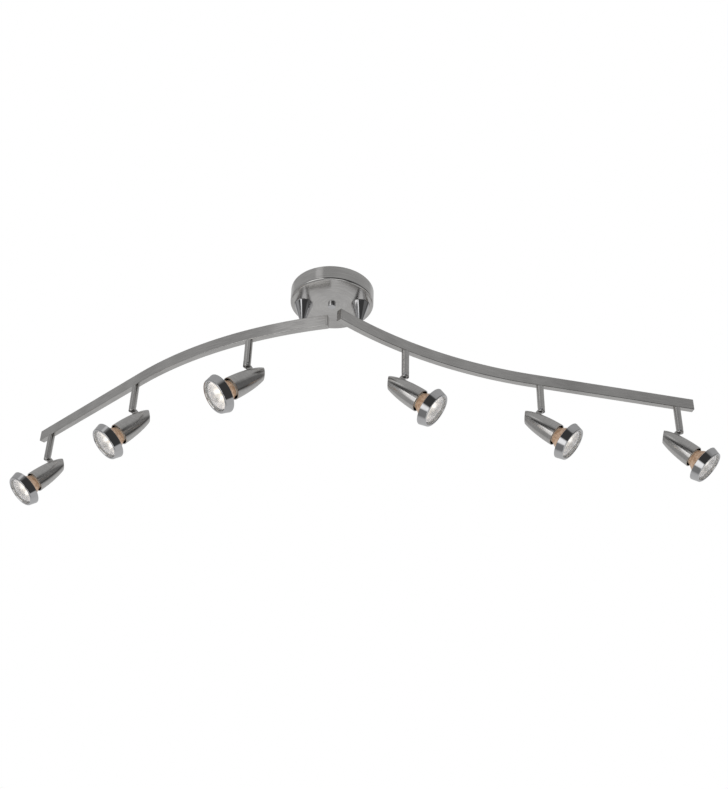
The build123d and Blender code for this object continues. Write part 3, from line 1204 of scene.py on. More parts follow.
@dataclass
class Arm:
    """One arm: a curved rectangular tube, an arc and then a straight run, and its two end caps."""

    side: Side
    bend_radius: float = 690 * MM
    bend_length: float = 362 * MM
    pivot_inset: float = 42 * MM
    first_stem: float = 90 * MM
    stem_pitch: float = 243 * MM
    end_margin: float = 30 * MM
    stems: int = 3
    width: float = 10 * MM
    height: float = 20 * MM
    wall: float = 1.2 * MM
    corner: float = 1.0 * MM
    corner_steps: int = 5
    inner_corner_share: float = 0.2
    cap_thickness: float = 3 * MM
    plug_length: float = 7 * MM
    plug_gap: float = 0.15 * MM
    edge_wear: float = 0.35 * MM
    hole_radius: float = 2.55 * MM
    step: float = 4 * MM

    def __post_init__(self) -> None:
        """Finds where the arm's path starts and heads in the frame."""
        pivot = Vector(JOINTS[f"{self.side.value}_arm_swivel"]["pos_m"])
        inner = f"{self.side.value}_inner_swivel"
        chord = Vector(JOINTS[inner]["pos_m"]) - pivot
        sweep = (2 * self.pivot_inset + self.first_stem) / (2 * self.bend_radius)
        heading = atan2(chord.y, chord.x) + sweep
        self.top = pivot.z
        turn = Matrix.Rotation(heading, 4, "Z")
        foot = Vector((pivot.x, pivot.y, pivot.z - self.height))
        start = turn @ self.path_point(self.pivot_inset)
        self.place = Matrix.Translation(foot - start) @ turn
        pitches = (self.stems - 1) * self.stem_pitch
        self.length = self.pivot_inset + self.first_stem + pitches + self.end_margin
        self.body = f"{self.side.value}_arm"

    def path_point(self, distance: float) -> Vector:
        """Gives the path's point at a distance from the inner end, in the arm's own frame.

        Args:
            distance: How far along the path it is.

        Returns:
            The point.
        """
        bend = min(distance, self.bend_length) / self.bend_radius
        run = max(distance - self.bend_length, 0)
        x = self.bend_radius * sin(bend) + run * cos(bend)
        y = self.bend_radius * (cos(bend) - 1) - run * sin(bend)
        return Vector((x, y, 0))

    def path_turn(self, distance: float) -> float:
        """Gives the path's direction at a distance from the inner end."""
        return -min(distance, self.bend_length) / self.bend_radius

    def station(self, distance: float) -> Matrix:
        """Gives the place on the path at a distance, with X along it, in the arm's own frame."""
        turn = Matrix.Rotation(self.path_turn(distance), 4, "Z")
        return Matrix.Translation(self.path_point(distance)) @ turn

    def sweep_tree(self) -> bpy.types.NodeTree:
        """Builds the tree that bends a line into the arm's path and sweeps its section along it.

        Returns:
            The Geometry Nodes tree.
        """
        tree = bpy.data.node_groups.new("arm_sweep", "GeometryNodeTree")
        wiring = Wiring(tree)
        names = ("Start", "Length", "Points", "Bend Radius", "Bend Length")
        names += ("Width", "Height", "Wall", "Corner")
        for name in names:
            kind = "NodeSocketInt" if name == "Points" else "NodeSocketFloat"
            tree.interface.new_socket(name=name, in_out="INPUT", socket_type=kind)
        tree.interface.new_socket(name="Finish", in_out="INPUT", socket_type="NodeSocketMaterial")
        tree.interface.new_socket(name="Geometry", in_out="OUTPUT", socket_type="NodeSocketGeometry")
        given = wiring.node("NodeGroupInput").outputs
        gap = wiring.math("DIVIDE", given["Length"], wiring.math("SUBTRACT", given["Points"], 1.0))
        offset = wiring.node("ShaderNodeCombineXYZ", {"X": gap})
        start = wiring.node("ShaderNodeCombineXYZ", {"X": given["Start"]})
        line = wiring.node(
            "GeometryNodeMeshLine",
            {"Count": given["Points"], "Start Location": start.outputs[0], "Offset": offset.outputs[0]},
        )
        curve = wiring.node("GeometryNodeMeshToCurve", {"Mesh": line.outputs[0]})
        place = wiring.node("GeometryNodeInputPosition")
        distance = wiring.node("ShaderNodeSeparateXYZ", {0: place.outputs[0]}).outputs[0]
        bent = wiring.math("MINIMUM", distance, given["Bend Length"])
        turn = wiring.math("DIVIDE", bent, given["Bend Radius"])
        run = wiring.math("MAXIMUM", wiring.math("SUBTRACT", distance, given["Bend Length"]), 0.0)
        cosine, sine = wiring.math("COSINE", turn), wiring.math("SINE", turn)
        x = wiring.math("MULTIPLY_ADD", run, cosine, wiring.math("MULTIPLY", given["Bend Radius"], sine))
        drop = wiring.math("MULTIPLY", given["Bend Radius"], wiring.math("SUBTRACT", cosine, 1.0))
        y = wiring.math("SUBTRACT", drop, wiring.math("MULTIPLY", run, sine))
        target = wiring.node("ShaderNodeCombineXYZ", {"X": x, "Y": y})
        path = wiring.node(
            "GeometryNodeSetPosition", {"Geometry": curve.outputs[0], "Position": target.outputs[0]}
        )
        upright = wiring.node("GeometryNodeSetCurveNormal", {"Curve": path.outputs[0]}, mode="Z_UP")
        outer = self.section(wiring, given["Width"], given["Height"], given["Corner"])
        twice = wiring.math("MULTIPLY", given["Wall"], 2.0)
        inner = self.section(
            wiring,
            wiring.math("SUBTRACT", given["Width"], twice),
            wiring.math("SUBTRACT", given["Height"], twice),
            wiring.math("MULTIPLY", given["Corner"], self.inner_corner_share),
        )
        both = wiring.node("GeometryNodeJoinGeometry")
        for profile in (outer, inner):
            wiring.tree.links.new(profile, both.inputs[0])
        swept = wiring.node(
            "GeometryNodeCurveToMesh",
            {"Curve": upright.outputs[0], "Profile Curve": both.outputs[0], "Fill Caps": False},
        )
        whole = wiring.node("GeometryNodeRealizeInstances", {"Geometry": swept.outputs[0]})
        painted = wiring.node(
            "GeometryNodeSetMaterial", {"Geometry": whole.outputs[0], "Material": given["Finish"]}
        )
        wiring.node("NodeGroupOutput", {"Geometry": painted.outputs[0]})
        return tree

    def section(
        self,
        wiring: Wiring,
        width: bpy.types.NodeSocket,
        height: bpy.types.NodeSocket,
        corner: bpy.types.NodeSocket,
    ) -> bpy.types.NodeSocket:
        """Adds a rounded rectangle for the sweep.

        Args:
            wiring: The tree being built.
            width: Its width's socket.
            height: Its height's socket.
            corner: Its corner radius's socket.

        Returns:
            The profile curve's socket.
        """
        outline = wiring.node(
            "GeometryNodeCurvePrimitiveQuadrilateral", {"Width": width, "Height": height}
        )
        return wiring.node(
            "GeometryNodeFilletCurve",
            {
                "Curve": outline.outputs[0],
                "Count": self.corner_steps,
                "Radius": corner,
                "Limit Radius": True,
            },
            mode="POLY",
        ).outputs[0]

    def build_tube(self) -> bpy.types.Object:
        """Builds the hollow tube with its pivot hole and stem holes.

        Returns:
            The tube.
        """
        name = f"{self.side.value}_arm_bar"
        tube = as_object(name, bpy.data.meshes.new(name))
        tree = self.sweep_tree()
        length = self.length - 2 * self.cap_thickness
        values = {
            "Start": self.cap_thickness,
            "Length": length,
            "Points": round(length / self.step) + 1,
            "Bend Radius": self.bend_radius,
            "Bend Length": self.bend_length,
            "Width": self.width,
            "Height": self.height,
            "Wall": self.wall,
            "Corner": self.corner,
            "Finish": NICKEL.material(),
        }
        shaped(tube, tree, values)
        tube.data.transform(Matrix.Translation((0, 0, self.height / 2)))
        self.close_ends(tube)
        holes = [self.hole(self.pivot_inset, self.height)]
        places = [self.pivot_inset + self.first_stem + k * self.stem_pitch for k in range(self.stems)]
        holes += [self.hole(place, 0) for place in places]
        combine(tube, holes, "DIFFERENCE")
        tube.data.transform(self.place)
        smoothed(tube)
        mark_grain(tube, self.grain)
        return dressed(tube, [NICKEL], self.body, [f"{self.side.value}_arm_tube"])

    def close_ends(self, tube: bpy.types.Object) -> None:
        """Joins the outer and inner walls at both ends of the tube.

        Args:
            tube: The tube.
        """
        shape = bmesh.new()
        shape.from_mesh(tube.data)
        walls = list(shape.faces)
        bmesh.ops.reverse_faces(shape, faces=walls[len(walls) // 2 :])
        rims = [edge for edge in shape.edges if edge.is_boundary]
        inner_end = self.path_point(0)
        half = self.length / 2
        near = [e for e in rims if (e.verts[0].co - inner_end).length < half]
        far = [e for e in rims if e not in near]
        for rim in (near, far):
            bmesh.ops.bridge_loops(shape, edges=rim)
        bmesh.ops.recalc_face_normals(shape, faces=shape.faces)
        shape.to_mesh(tube.data)
        shape.free()

    def hole(self, distance: float, height: float) -> bpy.types.Object:
        """Makes the cutter for a hole through the upper or lower wall.

        Args:
            distance: How far along the path the hole is.
            height: Height of the wall that it goes through.

        Returns:
            The cutter.
        """
        reach = 2 * self.wall
        outline = [(-reach, 0), (-reach, self.hole_radius), (reach, self.hole_radius), (reach, 0)]
        place = self.station(distance) @ hanging(Vector((0, 0, height)))
        return lathe("hole", outline, place, segments=32, closed=False)

    def grain(self, point: Vector) -> tuple[Vector, Vector]:
        """Gives the coordinates of the lengthwise brushing at a point.

        Args:
            point: A point of the arm in the frame.

        Returns:
            The grain's coordinates and the groove's direction.
        """
        local = self.place.inverted() @ point
        centre = Vector((0, -self.bend_radius))
        out = Vector((local.x, local.y)) - centre
        turn = atan2(out.x, out.y)
        limit = self.bend_length / self.bend_radius
        if turn < limit:
            distance, lateral = turn * self.bend_radius, out.length - self.bend_radius
        else:
            bend_end = self.path_point(self.bend_length)
            ahead = Vector((cos(-limit), sin(-limit)))
            rest = Vector((local.x - bend_end.x, local.y - bend_end.y))
            distance = self.bend_length + rest.dot(ahead)
            lateral = rest.dot(Vector((-ahead.y, ahead.x)))
            turn = limit
        direction = self.place.to_3x3() @ Vector((cos(turn), -sin(turn), 0))
        return Vector((lateral + local.z, distance, 0)), direction

    def build_caps(self) -> bpy.types.Object:
        """Builds both end caps with their plugs.

        Returns:
            The caps.
        """
        inner = self.place @ self.station(self.cap_thickness)
        outer = self.place @ self.station(self.length - self.cap_thickness) @ Matrix.Rotation(pi, 4, "Z")
        caps = [self.cap(place) for place in (inner, outer)]
        both = smoothed(joined(f"{self.side.value}_arm_caps", caps))
        mark_grain(both, self.grain)
        return dressed(both, [NICKEL], self.body, [f"{self.side.value}_arm_end_caps"])

    def cap(self, place: Matrix) -> bpy.types.Object:
        """Makes one cap whose plug runs along X from the origin of a place.

        Args:
            place: Where the cap meets the tube.

        Returns:
            The cap.
        """
        upright = place @ along(Vector((0, 0, self.height / 2)), Vector((0, 1, 0)), Vector((0, 0, 1)))
        half_w, half_h = self.width / 2, self.height / 2
        corners = ((-half_w, -half_h), (half_w, -half_h), (half_w, half_h), (-half_w, half_h))
        head = rounded([(x, y, self.corner) for x, y in corners])
        plate = prism("cap", head, -self.cap_thickness, 0, upright)
        softened(plate, self.edge_wear, angle=60)
        inset = self.wall + self.plug_gap
        plug = rounded([(x - inset * x / abs(x), y - inset * y / abs(y), self.plug_gap) for x, y in corners])
        body = prism("plug", plug, -self.plug_length / 2, self.plug_length, upright)
        return combine(plate, [body], "UNION")

    def build(self) -> None:
        """Builds the tube and the caps."""
        self.build_tube()
        self.build_caps()


# ---------------------------------------------------------------- stems


@dataclass
class Stem:
    """One stem with the fork at its foot and the tilt screw across it."""

    head: str
    radius: float = 6 * MM
    length: float = 49 * MM
    foot_round: float = 1.6 * MM
    top_round: float = 0.4 * MM
    neck_radius: float = 2.5 * MM
    neck_bore: float = 1.3 * MM
    neck_length: float = 4.2 * MM
    fork_width: float = 4 * MM
    fork_height: float = 9.3 * MM
    screw_radius: float = 1.5 * MM
    screw_head: float = 2.7 * MM
    screw_seat: float = 4.96 * MM
    screw_head_height: float = 1.2 * MM
    screw_tip_round: float = 0.3 * MM
    screw_seat_round: float = 0.1 * MM
    screw_head_round: float = 0.5 * MM
    sink_gap: float = 0.15 * MM
    slot_width: float = 0.8 * MM
    slot_depth: float = 0.5 * MM
    neck_round: float = 0.15 * MM

    def __post_init__(self) -> None:
        """Reads the stem's place from its joints."""
        swivel, tilt = JOINTS[f"{self.head}_swivel"], JOINTS[f"{self.head}_tilt"]
        across = Vector(tilt["axis"])
        aim = across.cross(Vector((0, 0, 1)))
        self.place = along(Vector(swivel["pos_m"]), aim, across)
        self.screw_place = along(Vector(tilt["pos_m"]), -across, Vector((0, 0, 1)))
        self.body = swivel["child"]

    def build_stem(self) -> bpy.types.Object:
        """Builds the turned stem, then cuts its fork, its screw hole and its wire bore.

        Returns:
            The stem.
        """
        outline = rounded(
            [
                (-self.neck_length, 0, 0),
                (-self.neck_length, self.neck_radius, self.neck_round),
                (0, self.neck_radius, 0),
                (0, self.radius, self.top_round),
                (self.length, self.radius, self.foot_round),
                (self.length, 0, 0),
            ],
            closed=False,
            steps=6,
        )
        top = self.place @ hanging(Vector((0, 0, 0)))
        stem = lathe(f"{self.head}_stem_bar", outline, top, segments=72, closed=False)
        slot_place = self.place @ Matrix.Translation((0, 0, -self.length))
        slot = box("slot", (4 * self.radius, self.fork_width, 2 * self.fork_height), slot_place)
        reach = 2 * self.radius
        hole = [(-reach, 0), (-reach, self.screw_radius), (self.screw_seat, self.screw_radius)]
        sunk = self.screw_head + self.sink_gap
        hole += [(self.screw_seat, sunk), (reach, sunk), (reach, 0)]
        cross = lathe("cross", hole, self.screw_place, segments=40, closed=False)
        bore_foot = self.length - self.fork_height / 2
        bore = [(-2 * self.neck_length, 0), (-2 * self.neck_length, self.neck_bore)]
        bore += [(bore_foot, self.neck_bore), (bore_foot, 0)]
        wire = lathe("wire", bore, top, segments=24, closed=False)
        combine(stem, [slot, cross, wire], "DIFFERENCE")
        smoothed(stem)
        mark_grain(stem, turned_grain(top))
        return dressed(stem, [TURNED_NICKEL], self.body, [f"{self.head}_stem"])

    def build_screw(self) -> bpy.types.Object:
        """Builds the slotted screw that the head tilts on.

        Returns:
            The screw.
        """
        seat, head = self.screw_seat, self.screw_seat + self.screw_head_height
        outline = rounded(
            [
                (-seat, 0, 0),
                (-seat, self.screw_radius, self.screw_tip_round),
                (seat, self.screw_radius, 0),
                (seat, self.screw_head, self.screw_seat_round),
                (head, self.screw_head, self.screw_head_round),
                (head, 0, 0),
            ],
            closed=False,
        )
        screw = lathe(f"{self.head}_screw", outline, self.screw_place, segments=48, closed=False)
        cut = self.screw_place @ Matrix.Translation((head, 0, 0))
        slot = box("slot", (2 * self.slot_depth, 3 * self.screw_head, self.slot_width), cut)
        combine(screw, [slot], "DIFFERENCE")
        smoothed(screw)
        return dressed(screw, [CHROME], self.body, [f"{self.head}_tilt_screw"])

    def build(self) -> None:
        """Builds the stem and its screw, and dresses its nut."""
        self.build_stem()
        self.build_screw()
        dress_node(f"{self.head}_stem_nut", ZINC)


# ---------------------------------------------------------------- heads


@dataclass
class SpotHead:
    """One head: the bullet shell, the lamp with its mirror and capsule, the cover glass and the bezel."""

    head: str
    shell_front: float = 48 * MM
    shell_radius: float = 18.4 * MM
    nose_length: float = 72 * MM
    wall: float = 1.2 * MM
    rear_cut: float = -15 * MM
    rear_lean: float = 33.0
    rear_round: float = 0.5 * MM
    ear_radius: float = 4.5 * MM
    ear_width: float = 3.6 * MM
    ear_hole: float = 1.55 * MM
    ear_steps: int = 20
    lamp_back: float = 23 * MM
    lamp_face: float = 78 * MM
    lamp_radius: float = 25 * MM
    base_radius: float = 13.2 * MM
    base_round: float = 1.0 * MM
    base_overlap: float = 4 * MM
    bowl_steps: int = 14
    rim_bevel: float = 0.3 * MM
    flange: float = 2.6 * MM
    glass: float = 1.4 * MM
    lens_radius: float = 24 * MM
    lens_thickness: float = 1.5 * MM
    lens_back_round: float = 0.2 * MM
    lens_front_round: float = 0.4 * MM
    ledge: float = 0.6 * MM
    gap: float = 0.15 * MM
    pin_spacing: float = 10 * MM
    pin_radius: float = 2.5 * MM
    pin_length: float = 6.5 * MM
    pin_sink: float = 0.2 * MM
    pin_button_share: float = 0.62
    pin_taper_share: float = 0.55
    pin_waist_share: float = 0.62
    pin_end_round: float = 0.4 * MM
    pin_button_round: float = 0.3 * MM
    pin_waist_round: float = 0.2 * MM
    bezel_back: float = 66.2 * MM
    bezel_front: float = 79.4 * MM
    bezel_back_radius: float = 31.6 * MM
    bezel_front_radius: float = 28 * MM
    bezel_wall: float = 1.2 * MM
    bezel_lip: float = 24.2 * MM
    bezel_grip: float = 5 * MM
    bezel_back_round: float = 0.5 * MM
    bezel_front_round: float = 1.5 * MM
    bezel_roll: float = 0.8 * MM
    bezel_lip_rise: float = 0.4 * MM
    bezel_lip_round: float = 0.1 * MM
    bezel_grip_round: float = 0.2 * MM
    bezel_step_round: float = 0.3 * MM
    bezel_inner_round: float = 0.4 * MM
    bowl_power: float = 1.15
    mirror_rings: int = 3
    mirror_sectors: int = 12
    mirror_cells: int = 6
    mirror_dimple: float = 0.36 * MM
    mirror_thickness: float = 0.1 * MM
    throat_radius: float = 6.5 * MM
    capsule_radius: float = 4.6 * MM
    capsule_tip: float = 69.4 * MM
    capsule_shoulder: float = 3.5 * MM
    capsule_shoulder_round: float = 2.5 * MM
    pinch_length: float = 1.2 * MM
    pinch_radius: float = 0.9 * MM
    pinch_round: float = 0.8 * MM
    tip_radius: float = 0.5 * MM
    tip_round: float = 0.4 * MM
    collar_overlap: float = 0.4 * MM
    collar_round: float = 0.4 * MM

    def __post_init__(self) -> None:
        """Reads the head's place from its joint and the two pieces on the lamp axis."""
        tilt = JOINTS[f"{self.head}_tilt"]
        lens, holder = middle(f"{self.head}_lamp_lens"), middle(f"{self.head}_lamp_holder")
        across = Vector(tilt["axis"])
        forward = (lens - holder).normalized()
        screw = Vector(tilt["pos_m"])
        origin = lens + forward * (screw - lens).dot(forward)
        self.place = along(origin, forward, across)
        self.drop = (screw - origin).length
        self.body = tilt["child"]

    def shell_outline(self, inset: float, steps: int = 40) -> list[Point]:
        """Gives the bullet's elliptic outline, or the one a wall inside it that runs out of its mouth.

        Args:
            inset: The wall between the two, or 0 for the outer one.
            steps: Edges along the ellipse.

        Returns:
            The outline's points (x, radius).
        """
        length, radius = self.nose_length - inset, self.shell_radius - inset
        turns = [pi / 2 * k / steps for k in range(steps + 1)]
        arc = [(self.shell_front - length * cos(t), radius * sin(t)) for t in turns]
        arc[0] = (arc[0][0], 0.0)
        mouth = self.shell_front + inset
        return [*arc, (mouth, radius), (mouth, 0.0)] if inset else [*arc, (mouth, 0.0)]

    def rear_cutter(self, shift: float) -> bpy.types.Object:
        """Makes the block behind the slanted rear panel.

        Args:
            shift: How far in front of the panel's outer face it ends.

        Returns:
            The cutter.
        """
        reach = 2 * self.nose_length
        lean = Matrix.Rotation(-radians(self.rear_lean), 4, "Y")
        place = self.place @ Matrix.Translation((self.rear_cut, 0, 0)) @ lean
        return box("rear", (reach, reach, reach), place @ Matrix.Translation((shift - reach / 2, 0, 0)))

    def bullet(self, inset: float) -> bpy.types.Object:
        """Makes the bullet with its slanted rear, or the hollow inside it."""
        shape = lathe("bullet", self.shell_outline(inset), self.place, segments=128, closed=False)
        return combine(shape, [self.rear_cutter(inset)], "DIFFERENCE")

    def ear(self) -> bpy.types.Object:
        """Makes the ear that stands in the stem's fork.

        Returns:
            The ear.
        """
        foot = self.shell_radius * sqrt(1 - (self.shell_front / self.nose_length) ** 2) - self.wall
        arc = [pi * k / self.ear_steps for k in range(self.ear_steps + 1)]
        outline = [(self.ear_radius * cos(t), self.drop + self.ear_radius * sin(t)) for t in arc]
        outline += [(-self.ear_radius, foot), (self.ear_radius, foot)]
        upright = self.place @ along(Vector((0, 0, 0)), Vector((1, 0, 0)), Vector((0, 0, 1)))
        plate = prism("ear", outline, -self.ear_width / 2, self.ear_width / 2, upright)
        reach = 2 * self.ear_width
        hole = [(-reach, 0), (-reach, self.ear_hole), (reach, self.ear_hole), (reach, 0)]
        pin = self.place @ along(Vector((0, 0, self.drop)), Vector((0, 1, 0)), Vector((0, 0, 1)))
        return combine(plate, [lathe("pin", hole, pin, segments=32, closed=False)], "DIFFERENCE")

    def build_shell(self) -> bpy.types.Object:
        """Builds the thin bullet shell with its ear.

        Returns:
            The shell.
        """
        shell = self.bullet(0)
        shell.name = f"{self.head}_bullet"
        softened(shell, self.rear_round, angle=30, segments=3)
        combine(shell, [self.ear()], "UNION")
        combine(shell, [self.bullet(self.wall)], "DIFFERENCE")
        smoothed(shell, angle=30)
        mark_grain(shell, turned_grain(self.place))
        return dressed(shell, [TURNED_NICKEL], self.body, [f"{self.head}_head_shell"])

    def bowl_point(self, share: float, inset: float) -> Point:
        """Gives a point of the lamp's bowl, from its neck at 0 to its rim at 1.

        Args:
            share: How far along the bowl it is.
            inset: How far inside the outer face it is.

        Returns:
            The point (x, radius).
        """
        back, front = self.shell_front, self.lamp_face - self.flange
        x = back + (front - back) * share
        rim = self.lamp_radius - self.glass / 2
        radius = self.base_radius + (rim - self.base_radius) * sin(pi / 2 * share) ** self.bowl_power
        return (x, radius - inset)

    def build_lamp(self) -> bpy.types.Object:
        """Builds the lamp's base, pins and glass bowl.

        Returns:
            The lamp's body.
        """
        steps = self.bowl_steps
        outer = [self.bowl_point(k / steps, 0) for k in range(1, steps + 1)]
        seat = self.lamp_face - self.lens_thickness
        inner = [self.bowl_point(k / steps, self.glass) for k in range(steps - 1, -1, -1)]
        throat_back = self.shell_front - 2 * self.glass
        base = [
            (throat_back, 0),
            (self.lamp_back, 0),
            *rounded(
                [
                    (self.lamp_back, 0, 0),
                    (self.lamp_back, self.base_radius, self.base_round),
                    (self.shell_front, self.base_radius, 0),
                ],
                closed=False,
            )[1:],
        ]
        rim = [
            (self.lamp_face - self.flange, self.lamp_radius),
            (self.lamp_face - self.rim_bevel, self.lamp_radius),
            (self.lamp_face, self.lamp_radius - self.rim_bevel),
            (self.lamp_face, self.lens_radius + self.gap),
            (seat, self.lens_radius + self.gap),
            (seat, self.lens_radius - self.ledge),
        ]
        hollow = [*inner, (throat_back, self.throat_radius)]
        outline = [*base, *outer, *rim, *hollow]
        lamp = lathe(f"{self.head}_lamp_body", outline, self.place, segments=96, closed=True)
        pins = [self.pin(y) for y in (-self.pin_spacing / 2, self.pin_spacing / 2)]
        smoothed(lamp)
        dressed(lamp, [CERAMIC, AMBER, SEALANT_AND_SHADE], self.body, [f"{self.head}_lamp"])
        self.paint_lamp(lamp)
        both = smoothed(joined(f"{self.head}_lamp_pins", pins))
        dressed(both, [ZINC], self.body)
        return lamp

    def paint_lamp(self, lamp: bpy.types.Object) -> None:
        """Gives the base the ceramic finish, the bowl the glass, and its rim and inside the grey of sealant
        and painted shade.

        Args:
            lamp: The lamp's body.
        """
        back = self.place.inverted()
        base_front, rim_back = self.shell_front - self.base_overlap, self.lamp_face - self.flange
        for face in lamp.data.polygons:
            x, y, z = back @ face.center
            inward = (back.to_3x3() @ face.normal).dot(Vector((0, y, z))) < 0
            # inward faces and the rim get the grey sealant and painted shade; the rest of the bowl gets the
            # amber glass
            face.material_index = int(x > base_front) * (2 if inward or x > rim_back else 1)

    def pin(self, y: float) -> bpy.types.Object:
        """Makes one contact pin with a waisted stem and a button end.

        Args:
            y: How far beside the lamp axis it is.

        Returns:
            The pin.
        """
        back, radius = self.lamp_back, self.pin_radius
        waist = self.pin_waist_share * radius
        outline = rounded(
            [
                (back - self.pin_length, 0, 0),
                (back - self.pin_length, radius, self.pin_end_round),
                (back - self.pin_button_share * self.pin_length, radius, self.pin_button_round),
                (back - self.pin_taper_share * self.pin_length, waist, self.pin_waist_round),
                (back + self.pin_sink, waist, 0),
                (back + self.pin_sink, 0, 0),
            ],
            closed=False,
        )
        return lathe("pin", outline, self.place @ Matrix.Translation((0, y, 0)), segments=32, closed=False)

    def mirror_tree(self) -> bpy.types.NodeTree:
        """Builds the tree that bends a grid into a bowl of pillow-shaped facets.

        Returns:
            The Geometry Nodes tree.
        """
        tree = bpy.data.node_groups.new("mirror_bowl", "GeometryNodeTree")
        wiring = Wiring(tree)
        for name in ("Throat", "Rim", "Back", "Front", "Rings", "Sectors", "Dimple"):
            tree.interface.new_socket(name=name, in_out="INPUT", socket_type="NodeSocketFloat")
        tree.interface.new_socket(name="Finish", in_out="INPUT", socket_type="NodeSocketMaterial")
        tree.interface.new_socket(name="Geometry", in_out="OUTPUT", socket_type="NodeSocketGeometry")
        given = wiring.node("NodeGroupInput").outputs
        grid = wiring.node(
            "GeometryNodeMeshGrid",
            {
                "Size X": 1.0,
                "Size Y": 1.0,
                "Vertices X": self.mirror_cells * self.mirror_rings + 1,
                "Vertices Y": self.mirror_cells * self.mirror_sectors + 1,
            },
        )
        place = wiring.node("ShaderNodeSeparateXYZ", {0: wiring.node("GeometryNodeInputPosition").outputs[0]})
        share = wiring.math("ADD", place.outputs[0], 0.5)
        around = wiring.math("ADD", place.outputs[1], 0.5)
        quarter = wiring.math("SINE", wiring.math("MULTIPLY", share, pi / 2))
        curve = wiring.math("POWER", quarter, self.bowl_power)
        spread = wiring.math("SUBTRACT", given["Rim"], given["Throat"])
        radius = wiring.math("MULTIPLY_ADD", curve, spread, given["Throat"])
        rings = wiring.math("MULTIPLY", given["Rings"], pi)
        sectors = wiring.math("MULTIPLY", given["Sectors"], pi)
        ring_wave = wiring.math("SINE", wiring.math("MULTIPLY", share, rings))
        sector_wave = wiring.math("SINE", wiring.math("MULTIPLY", around, sectors))
        pillow = wiring.math("ABSOLUTE", wiring.math("MULTIPLY", ring_wave, sector_wave))
        size = wiring.math("DIVIDE", radius, given["Rim"])
        dent = wiring.math("MULTIPLY", wiring.math("MULTIPLY", pillow, given["Dimple"]), size)
        reach = wiring.math("SUBTRACT", radius, dent)
        turn = wiring.math("MULTIPLY", around, 2 * pi)
        depth = wiring.math("SUBTRACT", given["Front"], given["Back"])
        x = wiring.math("MULTIPLY_ADD", share, depth, given["Back"])
        y = wiring.math("MULTIPLY", reach, wiring.math("COSINE", turn))
        z = wiring.math("MULTIPLY", reach, wiring.math("SINE", turn))
        target = wiring.node("ShaderNodeCombineXYZ", {"X": x, "Y": y, "Z": z})
        # the depth attribute is the mask of the mirror's painted warm glow, 1 at the throat
        deep = wiring.node(
            "GeometryNodeStoreNamedAttribute",
            {"Geometry": grid.outputs[0], "Name": "depth", "Value": wiring.math("SUBTRACT", 1.0, share)},
            data_type="FLOAT",
            domain="POINT",
        )
        bent = wiring.node(
            "GeometryNodeSetPosition", {"Geometry": deep.outputs[0], "Position": target.outputs[0]}
        )
        closed = wiring.node(
            "GeometryNodeMergeByDistance", {"Geometry": bent.outputs[0], "Distance": MERGE}
        )
        whole = wiring.node("GeometryNodeRealizeInstances", {"Geometry": closed.outputs[0]})
        painted = wiring.node(
            "GeometryNodeSetMaterial", {"Geometry": whole.outputs[0], "Material": given["Finish"]}
        )
        wiring.node("NodeGroupOutput", {"Geometry": painted.outputs[0]})
        return tree

    def build_mirror(self) -> bpy.types.Object:
        """Builds the faceted mirror coat just inside the bowl.

        Returns:
            The mirror.
        """
        name = f"{self.head}_mirror"
        mirror = as_object(name, bpy.data.meshes.new(name))
        tree = self.mirror_tree()
        inset = self.glass + 2 * self.gap
        values = {
            "Throat": self.throat_radius,
            "Rim": self.lamp_radius - self.glass / 2 - inset,
            "Back": self.shell_front + self.glass,
            "Front": self.lamp_face - self.flange - self.gap,
            "Rings": float(self.mirror_rings),
            "Sectors": float(self.mirror_sectors),
            "Dimple": self.mirror_dimple,
            "Finish": MIRROR.material(),
        }
        shaped(mirror, tree, values)
        mirror.data.transform(self.place)
        self.face_forward(mirror)
        backing = mirror.modifiers.new("backing", "SOLIDIFY")
        backing.thickness = self.mirror_thickness
        backing.offset = -1.0
        applied(mirror)
        mirror.data.shade_smooth()
        return dressed(mirror, [MIRROR], self.body)

    def face_forward(self, mirror: bpy.types.Object) -> None:
        """Turns the mirror's faces towards the lamp axis.

        Args:
            mirror: The mirror.
        """
        shape = bmesh.new()
        shape.from_mesh(mirror.data)
        axis, origin = self.place.to_3x3() @ Vector((1, 0, 0)), self.place.translation
        for face in shape.faces:
            out = face.calc_center_median() - origin
            out -= axis * out.dot(axis)
            if face.normal.dot(out) > 0:
                face.normal_flip()
        shape.to_mesh(mirror.data)
        shape.free()

    def build_capsule(self) -> bpy.types.Object:
        """Builds the inner capsule, pinched at its tip, and its ceramic collar.

        Returns:
            The collar.
        """
        back, tip = self.shell_front - self.glass, self.capsule_tip
        outline = rounded(
            [
                (back, 0, 0),
                (back, self.capsule_radius, 0),
                (tip - self.capsule_shoulder, self.capsule_radius, self.capsule_shoulder_round),
                (tip - self.pinch_length, self.pinch_radius, self.pinch_round),
                (tip, self.tip_radius, self.tip_round),
                (tip, 0, 0),
            ],
            closed=False,
            steps=8,
        )
        capsule = smoothed(lathe(f"{self.head}_capsule", outline, self.place, segments=48, closed=False))
        dressed(capsule, [CAPSULE], self.body)
        collar_front = self.shell_front + 2 * self.glass
        collar_radius = self.throat_radius + self.collar_overlap
        ring = rounded(
            [
                (back, self.capsule_radius, 0),
                (back, collar_radius, 0),
                (collar_front, collar_radius, self.collar_round),
                (collar_front, self.capsule_radius, self.collar_round),
            ]
        )
        collar = smoothed(lathe(f"{self.head}_collar", ring, self.place, segments=48))
        return dressed(collar, [CERAMIC], self.body)

    def build_lens(self) -> bpy.types.Object:
        """Builds the cover glass with softened edges.

        Returns:
            The glass.
        """
        back, front = self.lamp_face - self.lens_thickness, self.lamp_face
        outline = rounded(
            [
                (back, 0, 0),
                (back, self.lens_radius, self.lens_back_round),
                (front, self.lens_radius, self.lens_front_round),
                (front, 0, 0),
            ],
            closed=False,
        )
        lens = smoothed(lathe(f"{self.head}_cover_glass", outline, self.place, segments=96, closed=False))
        return dressed(lens, [GLASS], self.body, [f"{self.head}_lamp_lens"])

